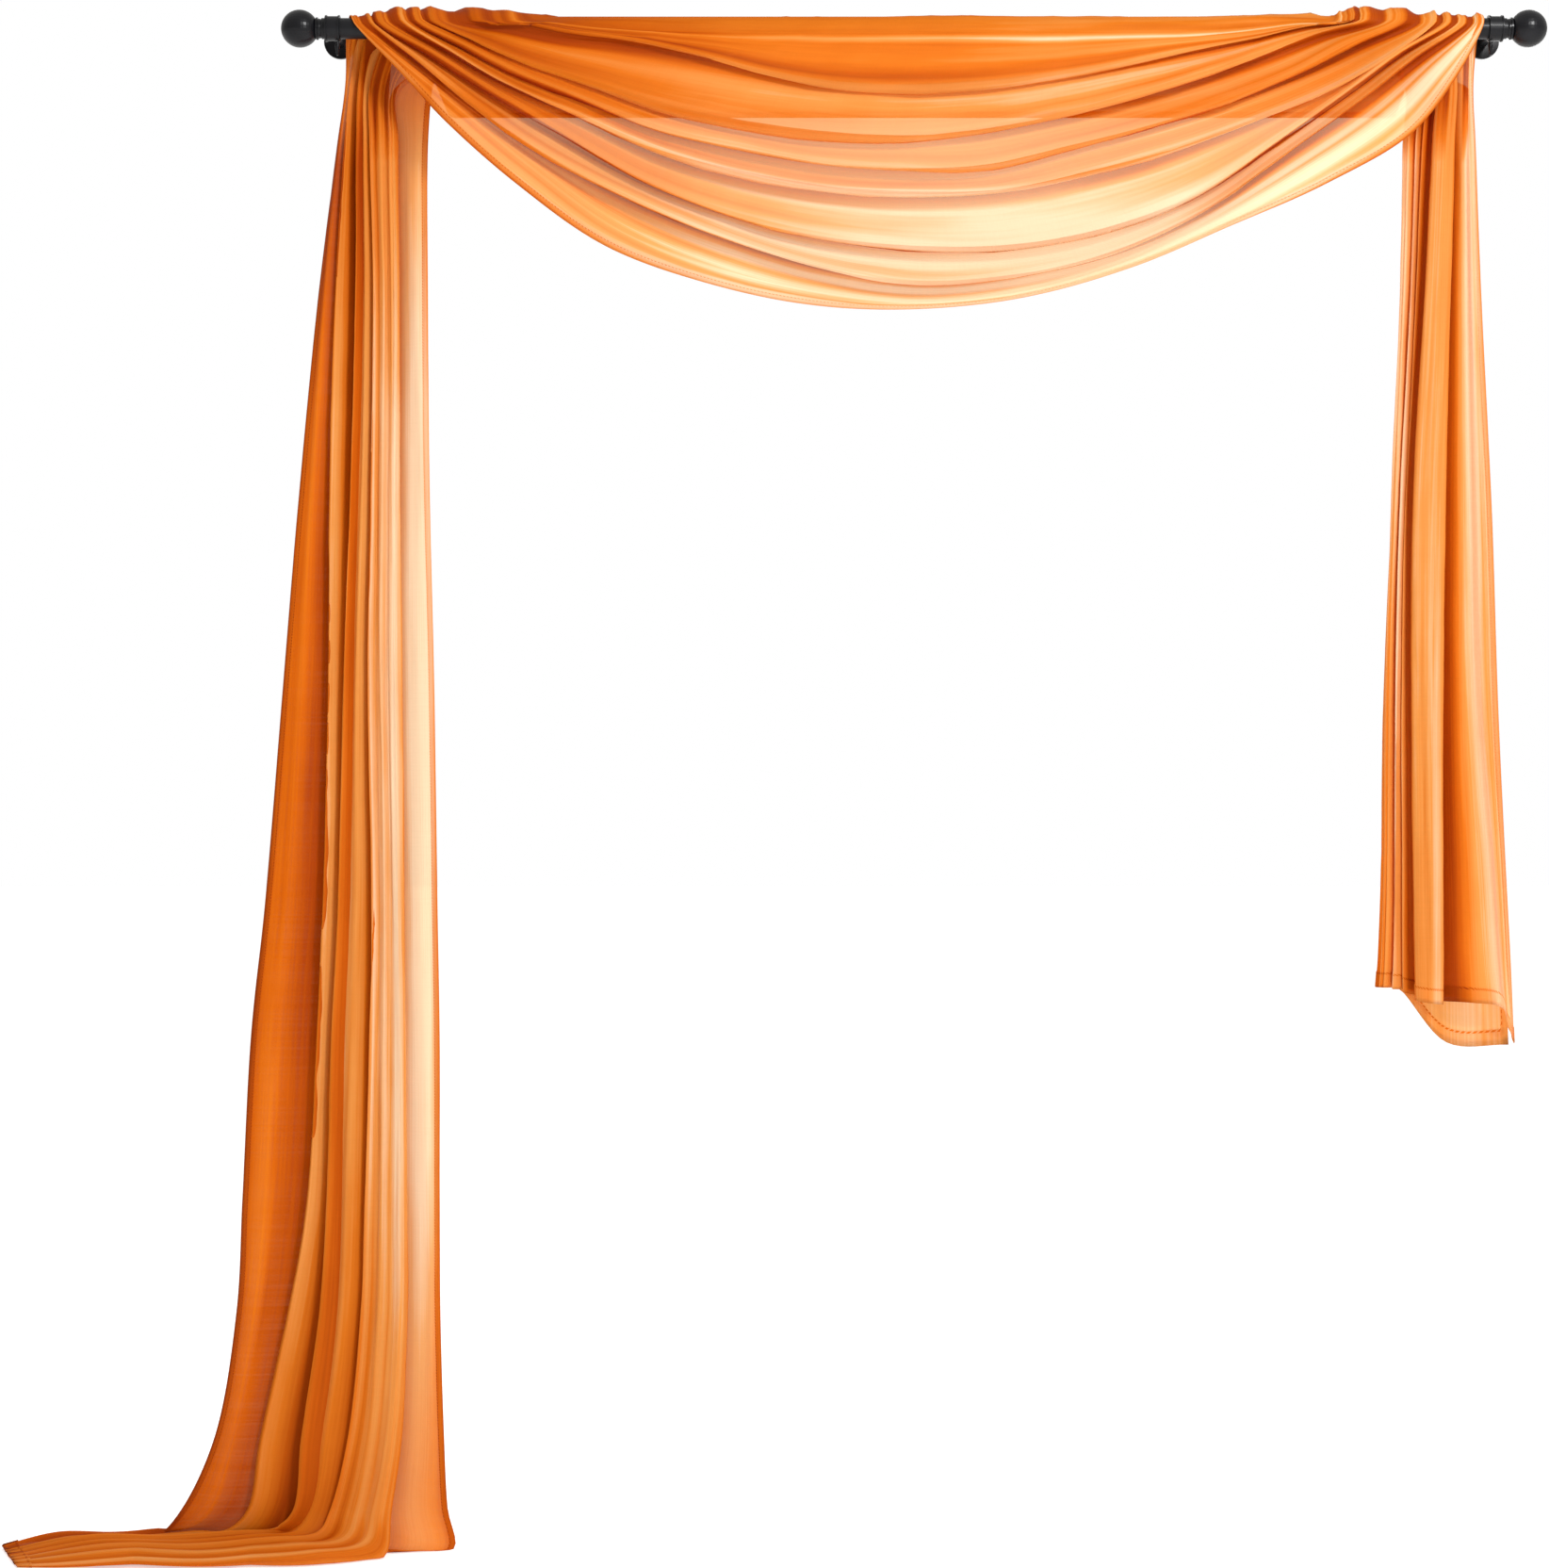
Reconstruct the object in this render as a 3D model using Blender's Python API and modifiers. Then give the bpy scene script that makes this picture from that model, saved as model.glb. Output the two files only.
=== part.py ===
"""A sheer window scarf hung over a metal rod: one swag in front, a long left tail and a short right tail.

Metres, Z up, +X to the right and +Y towards the wall. Heights are above the floor.
The rod, its ball finials and its wall brackets are built with the cloth they hold.
"""

import math

import bpy
import bmesh
import numpy as np
from mathutils import Matrix, Vector

NAME = "window_scarf"

# Rod and its fittings
ROD_HEIGHT = 2.068
ROD_RADIUS = 0.014
ROD_HALF = 0.800
ROD_WALL = 0.0015
ROD_CLEAR = 0.0174
BALL_RADIUS = 0.0252
BALL_PLACE = 0.8300
BALL_STEPS = 18
NECK_START = 0.8004
COLLAR_INNER = 0.7755
COLLAR_OUTER = 0.7950
COLLAR_RADIUS = 0.0165
RIM_RADIUS = 0.0178
RIM_WIDTH = 0.0022
ARM_HALF_WIDTH = 0.0045
ARM_HALF_HEIGHT = 0.0060
PLATE_RADIUS = 0.0230
PLATE_THICKNESS = 0.0050
WALL_PLACE = 0.0880
SCREW_TOP_RADIUS = 0.0026
SCREW_TIP_RADIUS = 0.0014
SCREW_LENGTH = 0.0180
GAP = 0.0004
TURNS = 36

# Cloth
CLOTH_THICKNESS = 0.0014
ROWS_STEP = 0.0900
COLUMNS = (1,) + (2,) * 13 + (4, 3, 1, 1)

# The height of the cloth's upper side over the rod's axis, along the rod: (x, height)
BUNCH = (
    (-0.770, 0.0172),
    (-0.739, 0.0190),
    (-0.700, 0.0300),
    (-0.573, 0.0270),
    (-0.522, 0.0186),
    (-0.488, 0.0170),
    (0.556, 0.0170),
    (0.594, 0.0320),
    (0.654, 0.0285),
    (0.735, 0.0200),
    (0.772, 0.0172),
)

# Lower edge and the fold edges above it, each from its left crossing of the rod to its right one.
# Columns: name, how far it stands forward at the middle, then (x, height) pairs.
SWAG = (
    ("hem", 0.024, (
        (-0.762, 2.084), (-0.723, 2.042), (-0.662, 1.966), (-0.589, 1.897), (-0.538, 1.855),
        (-0.488, 1.812), (-0.419, 1.770), (-0.345, 1.741), (-0.277, 1.717), (-0.210, 1.701),
        (-0.141, 1.688), (-0.005, 1.682), (0.056, 1.683), (0.131, 1.695), (0.188, 1.706),
        (0.244, 1.720), (0.339, 1.758), (0.436, 1.801), (0.532, 1.842), (0.580, 1.868),
        (0.674, 1.924), (0.700, 1.953), (0.739, 2.015), (0.763, 2.059), (0.768, 2.084),
    )),
    ("flap", 0.040, (
        (-0.758, 2.084), (-0.716, 2.037), (-0.662, 1.996), (-0.607, 1.952), (-0.556, 1.911),
        (-0.471, 1.843), (-0.403, 1.796), (-0.345, 1.762), (-0.210, 1.719), (-0.100, 1.698),
        (0.000, 1.690), (0.100, 1.698), (0.188, 1.713), (0.244, 1.728), (0.425, 1.807),
        (0.532, 1.867), (0.629, 1.930), (0.732, 2.036), (0.762, 2.084),
    )),
    ("first", 0.058, (
        (-0.739, 2.084), (-0.674, 2.023), (-0.573, 1.938), (-0.504, 1.892), (-0.437, 1.852),
        (-0.345, 1.812), (-0.244, 1.769), (-0.141, 1.735), (-0.022, 1.707), (0.080, 1.714),
        (0.188, 1.727), (0.218, 1.736), (0.315, 1.770), (0.425, 1.833), (0.532, 1.919),
        (0.629, 1.986), (0.740, 2.084),
    )),
    ("second", 0.056, (
        (-0.726, 2.084), (-0.641, 2.023), (-0.538, 1.956), (-0.437, 1.895), (-0.345, 1.836),
        (-0.230, 1.795), (-0.108, 1.765), (0.036, 1.751), (0.131, 1.756), (0.188, 1.762),
        (0.291, 1.789), (0.425, 1.852), (0.508, 1.924), (0.605, 1.991), (0.720, 2.084),
    )),
    ("third", 0.050, (
        (-0.695, 2.084), (-0.589, 2.003), (-0.504, 1.966), (-0.419, 1.925), (-0.345, 1.890),
        (-0.210, 1.850), (-0.074, 1.830), (-0.005, 1.828), (0.131, 1.836), (0.188, 1.850),
        (0.291, 1.871), (0.436, 1.925), (0.556, 1.977), (0.629, 2.015), (0.700, 2.084),
    )),
    ("fourth", 0.042, (
        (-0.676, 2.084), (-0.573, 2.018), (-0.403, 1.947), (-0.325, 1.914), (-0.141, 1.875),
        (-0.005, 1.864), (0.099, 1.866), (0.267, 1.910), (0.387, 1.948), (0.484, 1.986),
        (0.580, 2.036), (0.654, 2.084),
    )),
    ("fifth", 0.034, (
        (-0.655, 2.084), (-0.573, 2.033), (-0.403, 1.972), (-0.325, 1.942), (-0.200, 1.918),
        (-0.080, 1.905), (0.029, 1.907), (0.165, 1.932), (0.291, 1.965), (0.387, 1.996),
        (0.500, 2.040), (0.604, 2.084),
    )),
    ("sixth", 0.014, (
        (-0.600, 2.084), (-0.470, 2.058), (-0.345, 2.040), (-0.210, 2.000), (-0.108, 1.980),
        (0.000, 1.975), (0.120, 1.982), (0.250, 2.005), (0.380, 2.035), (0.500, 2.060),
        (0.590, 2.084),
    )),
    ("band", 0.000, (
        (-0.545, 2.084), (-0.470, 2.066), (-0.345, 2.056), (-0.200, 2.050), (0.000, 2.050),
        (0.200, 2.050), (0.400, 2.056), (0.500, 2.066), (0.574, 2.084),
    )),
)

# Share of the way to the fold above that each fold is tucked up behind its edge, at mid swag
TUCKS = (0.22, 0.18, 0.36, 0.26, 0.18, 0.20)

# Share of each fold's own length at which the swag is shaped
SWAG_SHARES = (0.06, 0.11, 0.18, 0.26, 0.34, 0.42, 0.5, 0.58, 0.66, 0.74, 0.82, 0.89, 0.945)

# Left tail. Columns: height, outer edge, three fold edges, the soft fold, inner edge
LEFT_TAIL = (
    (0.060, -0.996, -0.905, -0.842, -0.792, -0.715, -0.634),
    (0.160, -0.951, -0.887, -0.829, -0.767, -0.700, -0.639),
    (0.330, -0.922, -0.850, -0.805, -0.749, -0.690, -0.644),
    (0.480, -0.914, -0.825, -0.796, -0.744, -0.690, -0.645),
    (0.705, -0.902, -0.812, -0.790, -0.738, -0.692, -0.645),
    (0.885, -0.883, -0.804, -0.781, -0.735, -0.695, -0.648),
    (1.210, -0.856, -0.796, -0.773, -0.740, -0.699, -0.653),
    (1.430, -0.838, -0.794, -0.765, -0.737, -0.700, -0.658),
    (1.720, -0.810, -0.786, -0.757, -0.734, -0.700, -0.661),
    (1.920, -0.785, -0.774, -0.756, -0.738, -0.703, -0.661),
    (2.000, -0.774, -0.766, -0.753, -0.737, -0.700, -0.654),
)

# Right tail. Columns: height, outer edge, three fold edges, inner edge
RIGHT_TAIL = (
    (2.000, 0.765, 0.752, 0.740, 0.712, 0.672),
    (1.920, 0.768, 0.752, 0.736, 0.706, 0.670),
    (1.720, 0.775, 0.754, 0.730, 0.696, 0.665),
    (1.400, 0.790, 0.760, 0.722, 0.678, 0.652),
    (1.150, 0.798, 0.766, 0.719, 0.677, 0.643),
    (0.940, 0.808, 0.784, 0.719, 0.679, 0.640),
    (0.810, 0.815, 0.794, 0.719, 0.681, 0.636),
)

# Where each fold of the cloth runs in the tails and on the floor.
# Columns: name, place across the left tail and depth there, place across the right tail and depth
# there, hem height on the right, depth on the floor, height on the floor, left end on the floor
FOLDS = (
    ("hem", 0.00, 0.040, 0.00, 0.040, 0.694, 0.058, 0.012, -1.232),
    ("flap", 0.52, 0.027, 0.40, 0.034, 0.712, 0.050, 0.026, -1.230),
    ("tuck_1", 2.90, 0.069, 0.95, 0.026, 0.742, 0.030, 0.007, -1.226),
    ("first", 1.00, 0.036, 1.55, 0.030, 0.750, 0.037, 0.023, -1.224),
    ("tuck_2", 3.30, 0.061, 2.45, 0.058, 0.750, 0.008, 0.007, -1.222),
    ("second", 2.00, 0.025, 2.00, 0.022, 0.748, 0.017, 0.030, -1.220),
    ("tuck_3", 2.22, 0.033, 2.55, 0.018, 0.750, 0.006, 0.022, -1.218),
    ("third", 2.52, 0.025, 3.00, 0.024, 0.753, -0.003, 0.027, -1.214),
    ("tuck_4", 3.62, 0.051, 2.60, 0.060, 0.756, -0.024, 0.007, -1.212),
    ("fourth", 3.00, 0.021, 3.30, 0.040, 0.764, -0.017, 0.026, -1.210),
    ("tuck_5", 3.20, 0.026, 3.00, 0.058, 0.766, -0.028, 0.020, -1.208),
    ("fifth", 3.42, 0.021, 3.60, 0.036, 0.768, -0.036, 0.022, -1.207),
    ("tuck_6", 3.60, 0.025, 3.36, 0.056, 0.769, -0.044, 0.016, -1.206),
    ("sixth", 3.78, 0.020, 3.84, 0.036, 0.770, -0.052, 0.015, -1.206),
    ("band", 3.94, 0.020, 3.94, 0.040, 0.770, -0.061, 0.009, -1.207),
    ("ridge", 4.06, 0.028, 4.00, 0.046, 0.770, -0.050, 0.004, -1.208),
    ("nape", 3.74, 0.072, 3.30, 0.070, 0.766, -0.022, 0.004, -1.209),
    ("drop", 4.46, 0.052, 1.80, 0.076, 0.692, 0.012, 0.004, -1.211),
    ("back_hem", 5.00, 0.042, 0.12, 0.066, 0.690, 0.044, 0.004, -1.214),
)

# The cloth over the rod's top and behind it. Columns: name, left end, right end
BEHIND = (
    ("ridge", -0.500, 0.566),
    ("nape", -0.545, 0.600),
    ("drop", -0.600, 0.640),
    ("back_hem", -0.640, 0.664),
)

SCARF_COLOUR = (0.80, 0.22, 0.02, 1.0)
METAL_COLOUR = (0.02, 0.02, 0.025, 1.0)


def clear_scene():
    """An empty scene to start from."""
    for thing in list(bpy.data.objects):
        bpy.data.objects.remove(thing, do_unlink=True)
    for group in list(bpy.data.collections):
        bpy.data.collections.remove(group)


def spline(points, counts):
    """A smooth run through points, an array (n, ..., 3), with counts[i] steps from point i to the next."""
    before = 2.0 * points[0] - points[1]
    after = 2.0 * points[-1] - points[-2]
    full = np.concatenate([before[None], points, after[None]])
    out = []
    for i, count in enumerate(counts):
        quad = full[i:i + 4]
        knots = [np.zeros(quad.shape[1:-1] + (1,))]
        for j in range(3):
            chord = np.linalg.norm(quad[j + 1] - quad[j], axis=-1, keepdims=True)
            knots.append(knots[-1] + np.sqrt(np.maximum(chord, 1e-6)))
        for step in range(count):
            out.append(between(quad, knots, step / count))
    out.append(points[-1])
    return np.array(out)


def between(quad, knots, share):
    """The point at a share of the way from the second to the third of four."""
    a, b, c, d = knots
    t = b + (c - b) * share
    one = ((b - t) * quad[0] + (t - a) * quad[1]) / (b - a)
    two = ((c - t) * quad[1] + (t - b) * quad[2]) / (c - b)
    three = ((d - t) * quad[2] + (t - c) * quad[3]) / (d - c)
    four = ((c - t) * one + (t - a) * two) / (c - a)
    five = ((d - t) * two + (t - b) * three) / (d - b)
    return ((c - t) * four + (t - b) * five) / (c - b)


def bunch_at(x):
    """Height of the cloth over the rod's axis at a place along the rod."""
    places = [row[0] for row in BUNCH]
    heights = [row[1] for row in BUNCH]
    return float(np.interp(x, places, heights))


def at_shares(pairs, shares):
    """Points of a line in x and height at shares of its length."""
    line = np.array(pairs)
    steps = np.linalg.norm(np.diff(line, axis=0), axis=1)
    along = np.concatenate([[0.0], np.cumsum(steps)]) / steps.sum()
    return np.column_stack([np.interp(shares, along, line[:, 0]), np.interp(shares, along, line[:, 1])])


def front_depth(x, height, reach):
    """Depth of cloth lying against the rod's front, or hanging straight below it."""
    over = height - ROD_HEIGHT
    if over <= 0.0:
        return -reach
    return -math.sqrt(max(reach * reach - over * over, 0.0))


def swag_line(forward, pairs, is_tuck=False):
    """One fold edge over the front, from the rod's left crossing to the right one."""
    flat = at_shares(pairs, SWAG_SHARES)
    line = []
    for share, (x, height) in zip(SWAG_SHARES, flat):
        reach = bunch_at(x) - 0.004 * is_tuck
        reach = max(reach, 0.0172)
        swell = math.sin(math.pi * share) ** 0.8
        line.append((x, front_depth(x, height, reach) - forward * swell, height))
    return np.array(line)


def swag_lines():
    """All the fold edges over the front, from the lower hem up, with the tucks between them."""
    edges = [swag_line(forward, pairs) for name, forward, pairs in SWAG]
    lines = edges[:2]
    near_ends = 1.0 - np.sin(np.pi * np.array(SWAG_SHARES)) ** 0.45
    for i, tuck in enumerate(TUCKS):
        below = edges[i + 1]
        edge = edges[i + 2]
        above = edges[i + 3]
        hollow = edge + (below - edge) * (0.55 * near_ends)[:, None]
        hollow += (above - edge) * (tuck * (1.0 - near_ends))[:, None]
        room = 0.034 * (1.0 - near_ends) * (SWAG[i + 2][1] / 0.058) ** 0.5
        hollow[:, 1] = np.minimum(hollow[:, 1] + 0.006 + room, -0.0178)
        lines += [hollow, edge]
    lines.append(edges[-1])
    return lines


def crossings(side):
    """Where each fold crosses the rod's top, from the lower hem up."""
    pick = 0 if side < 0 else -1
    edges = [pairs[pick][0] for name, forward, pairs in SWAG]
    places = edges[:2]
    for i in range(len(TUCKS)):
        places += [0.5 * (edges[i + 1] + edges[i + 2]), edges[i + 2]]
    places.append(edges[-1])
    return places


def wrap(x, drift, slant, reach):
    """Cloth going from behind the rod over its top to its front: five points."""
    out = []
    for turn, behind, before in ((178.0, 1.0, 0.0), (135.0, 0.55, 0.0), (90.0, 0.1, 0.0), (50.0, 0.0, 0.45),
                                 (12.0, 0.0, 1.2)):
        angle = math.radians(turn)
        place = x - slant * behind + drift * before
        out.append((place, -reach * math.cos(angle), ROD_HEIGHT + reach * math.sin(angle)))
    return np.array(out)


def wraps(side):
    """The points over the rod of every fold that crosses it, slanting towards the tail behind."""
    out = []
    for i, x in enumerate(crossings(side)):
        is_tuck = 2 <= i <= 12 and i % 2 == 0
        reach = max(bunch_at(x) - 0.008 * is_tuck, 0.0172)
        if side < 0:
            slant = x - tail_x(LEFT_TAIL[-1], FOLDS[i][1])
            out.append(wrap(x, 0.006, slant * 0.62, reach))
        else:
            slant = x - tail_x(RIGHT_TAIL[0], FOLDS[i][3])
            out.append(wrap(x, -0.001, slant * 0.62, reach))
    return out


def back_line(index):
    """One of the lines over the rod's top and behind it: wrap, middle and wrap again."""
    name, left, right = BEHIND[index]
    mid_left = left + 0.03
    mid_right = right - 0.03
    xs = np.concatenate([
        np.linspace(left - 0.012, left + 0.016, 5),
        np.interp(SWAG_SHARES, (SWAG_SHARES[0], SWAG_SHARES[-1]), (mid_left, mid_right)),
        np.linspace(right - 0.016, right + 0.012, 5),
    ])
    share = np.linspace(0.0, 1.0, len(xs))
    ends = np.clip(1.0 - np.sin(np.pi * share) * 2.2, 0.0, 1.0)
    line = []
    for x, end in zip(xs, ends):
        reach = bunch_at(x)
        if index == 0:
            angle = math.radians(90.0 + 88.0 * end)
            line.append((x, -reach * math.cos(angle), ROD_HEIGHT + reach * math.sin(angle)))
        elif index == 1:
            line.append((x, max(reach, 0.0175), ROD_HEIGHT - 0.012 - 0.012 * end))
        elif index == 2:
            line.append((x, 0.0215 + 0.018 * end, 1.996 + 0.020 * end))
        else:
            line.append((x, 0.0240 + 0.022 * end, 1.952 + 0.052 * end))
    return np.array(line)


def tail_x(row, place):
    """Place along X of a fold at one height of a tail."""
    edges = row[1:]
    return float(np.interp(place, range(len(edges)), edges))


def left_tail(fold):
    """A fold down the left tail, from low to high."""
    return np.array([(tail_x(row, fold[1]), fold[2], row[0]) for row in LEFT_TAIL])


def right_tail(fold):
    """A fold down the right tail, from high to its hem."""
    line = [(tail_x(row, fold[3]), fold[4], row[0]) for row in RIGHT_TAIL]
    last = line[-1]
    line.append((last[0] + (last[0] - line[-2][0]) * 0.7, last[1], fold[5]))
    return np.array(line)


def floor_run(fold):
    """A fold lying on the floor, from its left end to where it rises."""
    place, hang = fold[1:3]
    depth, height, end = fold[6:]
    rise = tail_x(LEFT_TAIL[0], place)
    touch = rise - 0.035 * (1.0 - place / 5.0)
    lies_under = height < 0.006
    if place > 4.2:
        touch = rise + 0.008
    line = []
    for share in (0.0, 0.3, 0.6, 0.85, 1.0):
        x = end + (touch - end) * share
        turn = max(share - 0.6, 0.0) / 0.4
        y = depth + (hang - depth) * turn * turn * 0.65
        z = height + (0.0 if lies_under else 0.010 * turn)
        line.append((x, y, 0.003 + (z - 0.003) * min(0.1 + share * 3.0, 1.0)))
    return np.array(line)


def fold_net():
    """Every fold as a row of points from the left end of the cloth to the right one."""
    front = swag_lines()
    left_wraps = wraps(-1)
    right_wraps = wraps(1)
    rows = []
    for i, fold in enumerate(FOLDS):
        if i < len(front):
            middle = np.concatenate([left_wraps[i], front[i], right_wraps[i][::-1]])
        else:
            middle = back_line(i - len(front))
        rows.append(np.concatenate([floor_run(fold), left_tail(fold), middle, right_tail(fold)]))
    return np.array(rows)


def cloth_points(step, columns):
    """Points of the cloth's middle surface, rows along its length and columns across it."""
    net = fold_net().transpose(1, 0, 2)
    chords = np.linalg.norm(np.diff(net, axis=0), axis=2).mean(axis=1)
    counts = [max(1, int(round(chord / step))) for chord in chords]
    along = spline(net, counts)
    across = spline(along.transpose(1, 0, 2), columns)
    return clear_of_rod(across.transpose(1, 0, 2))


def clear_of_rod(points):
    """Points that lie too near the rod's axis, moved straight out from it."""
    away = points[:, :, 1:] - np.array([0.0, ROD_HEIGHT])
    reach = np.linalg.norm(away, axis=2, keepdims=True)
    grow = np.maximum(ROD_CLEAR / np.maximum(reach, 1e-9), 1.0)
    out = points.copy()
    out[:, :, 1:] = np.array([0.0, ROD_HEIGHT]) + away * grow
    return out


def offsets(points):
    """For every point, the way off the surface that keeps the sheet's thickness even past a fold's edge."""
    along = np.gradient(points, axis=0)
    steps = np.diff(points, axis=1)
    first = np.cross(along[:, 1:], steps)
    second = np.cross(along[:, :-1], steps)
    first /= np.maximum(np.linalg.norm(first, axis=2, keepdims=True), 1e-12)
    second /= np.maximum(np.linalg.norm(second, axis=2, keepdims=True), 1e-12)
    before = np.concatenate([second[:, :1], first], axis=1)
    after = np.concatenate([second, first[:, -1:]], axis=1)
    both = before + after
    size = np.maximum((both * both).sum(axis=2, keepdims=True), 0.3)
    return 2.0 * both / size


def new_material(name, colour, roughness, metallic):
    """A plain Principled material."""
    material = bpy.data.materials.new(name)
    material.use_nodes = True
    shader = material.node_tree.nodes["Principled BSDF"]
    shader.inputs["Base Color"].default_value = colour
    shader.inputs["Roughness"].default_value = roughness
    shader.inputs["Metallic"].default_value = metallic
    material.diffuse_color = colour
    return material


def new_collection(name):
    """A collection in the scene."""
    group = bpy.data.collections.new(name)
    bpy.context.scene.collection.children.link(group)
    return group


def add_object(mesh, name, group, place=(0.0, 0.0, 0.0)):
    """An object for a mesh, in the given collection."""
    thing = bpy.data.objects.new(name, mesh)
    thing.location = place
    group.objects.link(thing)
    return thing


def paint(thing, roughness):
    """Black paint of the given roughness, as a material of the object's own."""
    thing.data.materials.append(new_material(thing.name + "_paint", METAL_COLOUR, roughness, 0.6))


def add_scarf(group):
    """The scarf: a surface through its folds, with its thickness."""
    points = cloth_points(ROWS_STEP, COLUMNS)
    rows, columns = points.shape[:2]
    mesh = bpy.data.meshes.new("scarf")
    bm = bmesh.new()
    verts = [[bm.verts.new(points[i, j]) for j in range(columns)] for i in range(rows)]
    for i in range(rows - 1):
        for j in range(columns - 1):
            a, b, c, d = verts[i][j], verts[i + 1][j], verts[i + 1][j + 1], verts[i][j + 1]
            bm.faces.new((a, c, b))
            bm.faces.new((a, d, c))
    bm.to_mesh(mesh)
    bm.free()
    thing = add_object(mesh, "scarf", group)
    thing.data.materials.append(new_material("scarf_voile", SCARF_COLOUR, 0.7, 0.0))
    thickness = thing.modifiers.new("thickness", "SOLIDIFY")
    thickness.thickness = CLOTH_THICKNESS
    thickness.offset = 0.0
    thickness.use_even_offset = False
    return thing


def turned(name, group, place, profile, is_ring=False):
    """A shape turned about its own X axis, from a profile of (x, radius) rows."""
    last = len(profile) - 1
    edges = [(i, i + 1) for i in range(last)]
    if is_ring:
        edges.append((last, 0))
    mesh = bpy.data.meshes.new(name)
    mesh.from_pydata([(x, 0.0, radius) for x, radius in profile], edges, [])
    thing = add_object(mesh, name, group, place)
    turn = thing.modifiers.new("turn", "SCREW")
    turn.axis = "X"
    turn.steps = TURNS
    turn.render_steps = TURNS
    turn.use_merge_vertices = True
    turn.merge_threshold = 0.00005
    turn.use_normal_flip = True
    turn.use_smooth_shade = False
    return thing


def add_rod(group):
    """The rod: a round tube open at both ends."""
    inner = ROD_RADIUS - ROD_WALL
    profile = [(-ROD_HALF, ROD_RADIUS), (ROD_HALF, ROD_RADIUS), (ROD_HALF, inner), (-ROD_HALF, inner)]
    rod = turned("rod", group, (0.0, 0.0, ROD_HEIGHT), profile, is_ring=True)
    paint(rod, 0.35)
    return rod


def add_finial(group, side, word):
    """Neck with its raised ring, then the ball."""
    rows = [
        (NECK_START, 0.0),
        (NECK_START, 0.0125),
        (0.8030, 0.0132),
        (0.8050, 0.0132),
        (0.8054, 0.0150),
        (0.8076, 0.0150),
        (0.8080, 0.0122),
        (0.8100, 0.0112),
    ]
    start = math.pi - math.asin(0.0122 / BALL_RADIUS)
    for i in range(BALL_STEPS):
        angle = start * (1.0 - i / BALL_STEPS)
        rows.append((BALL_PLACE + BALL_RADIUS * math.cos(angle), BALL_RADIUS * math.sin(angle)))
    rows.append((BALL_PLACE + BALL_RADIUS, 0.0))
    finial = turned("finial_" + word, group, (0.0, 0.0, ROD_HEIGHT), rows)
    if side < 0:
        finial.rotation_euler = (0.0, 0.0, math.pi)
    paint(finial, 0.3)
    return finial


def add_box(name, group, low, high):
    """A block between two corners."""
    mesh = bpy.data.meshes.new(name)
    bm = bmesh.new()
    bmesh.ops.create_cube(bm, size=1.0)
    size = Vector(high) - Vector(low)
    bmesh.ops.scale(bm, vec=size, verts=bm.verts)
    bm.to_mesh(mesh)
    bm.free()
    return add_object(mesh, name, group, 0.5 * (Vector(low) + Vector(high)))


def add_disc(name, group, place):
    """The round wall plate."""
    mesh = bpy.data.meshes.new(name)
    bm = bmesh.new()
    bmesh.ops.create_cone(
        bm, cap_ends=True, segments=TURNS, radius1=PLATE_RADIUS, radius2=PLATE_RADIUS, depth=PLATE_THICKNESS,
        matrix=Matrix.Rotation(math.radians(90.0), 4, "X"),
    )
    bm.to_mesh(mesh)
    bm.free()
    return add_object(mesh, name, group, place)


def add_bracket(group, joins, side, word):
    """Collar with a raised rim at each end, arm to the wall and round wall plate, in one solid."""
    name = "bracket_" + word
    half = 0.5 * (COLLAR_OUTER - COLLAR_INNER)
    middle = side * 0.5 * (COLLAR_INNER + COLLAR_OUTER)
    bore = ROD_RADIUS + GAP
    profile = (
        (-half, RIM_RADIUS),
        (-half + RIM_WIDTH, RIM_RADIUS),
        (-half + RIM_WIDTH + 0.0002, COLLAR_RADIUS),
        (half - RIM_WIDTH - 0.0002, COLLAR_RADIUS),
        (half - RIM_WIDTH, RIM_RADIUS),
        (half, RIM_RADIUS),
        (half, bore),
        (-half, bore),
    )
    bracket = turned(name, group, (middle, 0.0, ROD_HEIGHT), profile, is_ring=True)
    arm = add_box(
        name + "_arm", joins,
        (middle - ARM_HALF_WIDTH, ROD_RADIUS + 0.0012, ROD_HEIGHT - ARM_HALF_HEIGHT),
        (middle + ARM_HALF_WIDTH, WALL_PLACE - 0.5 * PLATE_THICKNESS, ROD_HEIGHT + ARM_HALF_HEIGHT),
    )
    plate = add_disc(name + "_plate", joins, (middle, WALL_PLACE - 0.5 * PLATE_THICKNESS, ROD_HEIGHT))
    for extra in (arm, plate):
        extra.hide_render = True
        extra.display_type = "WIRE"
        union = bracket.modifiers.new("join_" + extra.name, "BOOLEAN")
        union.operation = "UNION"
        union.solver = "EXACT"
        union.object = extra
    paint(bracket, 0.4)
    return [bracket, arm, plate]


def add_screw(group, side, word):
    """The tapered thumb screw under the collar."""
    profile = (
        (0.0, 0.0),
        (0.0, SCREW_TOP_RADIUS),
        (0.0030, SCREW_TOP_RADIUS),
        (0.0036, SCREW_TOP_RADIUS + 0.0008),
        (0.0056, SCREW_TOP_RADIUS + 0.0008),
        (SCREW_LENGTH, SCREW_TIP_RADIUS),
        (SCREW_LENGTH, 0.0),
    )
    place = (side * (COLLAR_INNER + 0.0036), 0.0, ROD_HEIGHT - RIM_RADIUS - GAP)
    screw = turned("set_screw_" + word, group, place, profile)
    screw.rotation_euler = (0.0, math.radians(90.0), 0.0)
    paint(screw, 0.35)
    return screw


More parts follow.
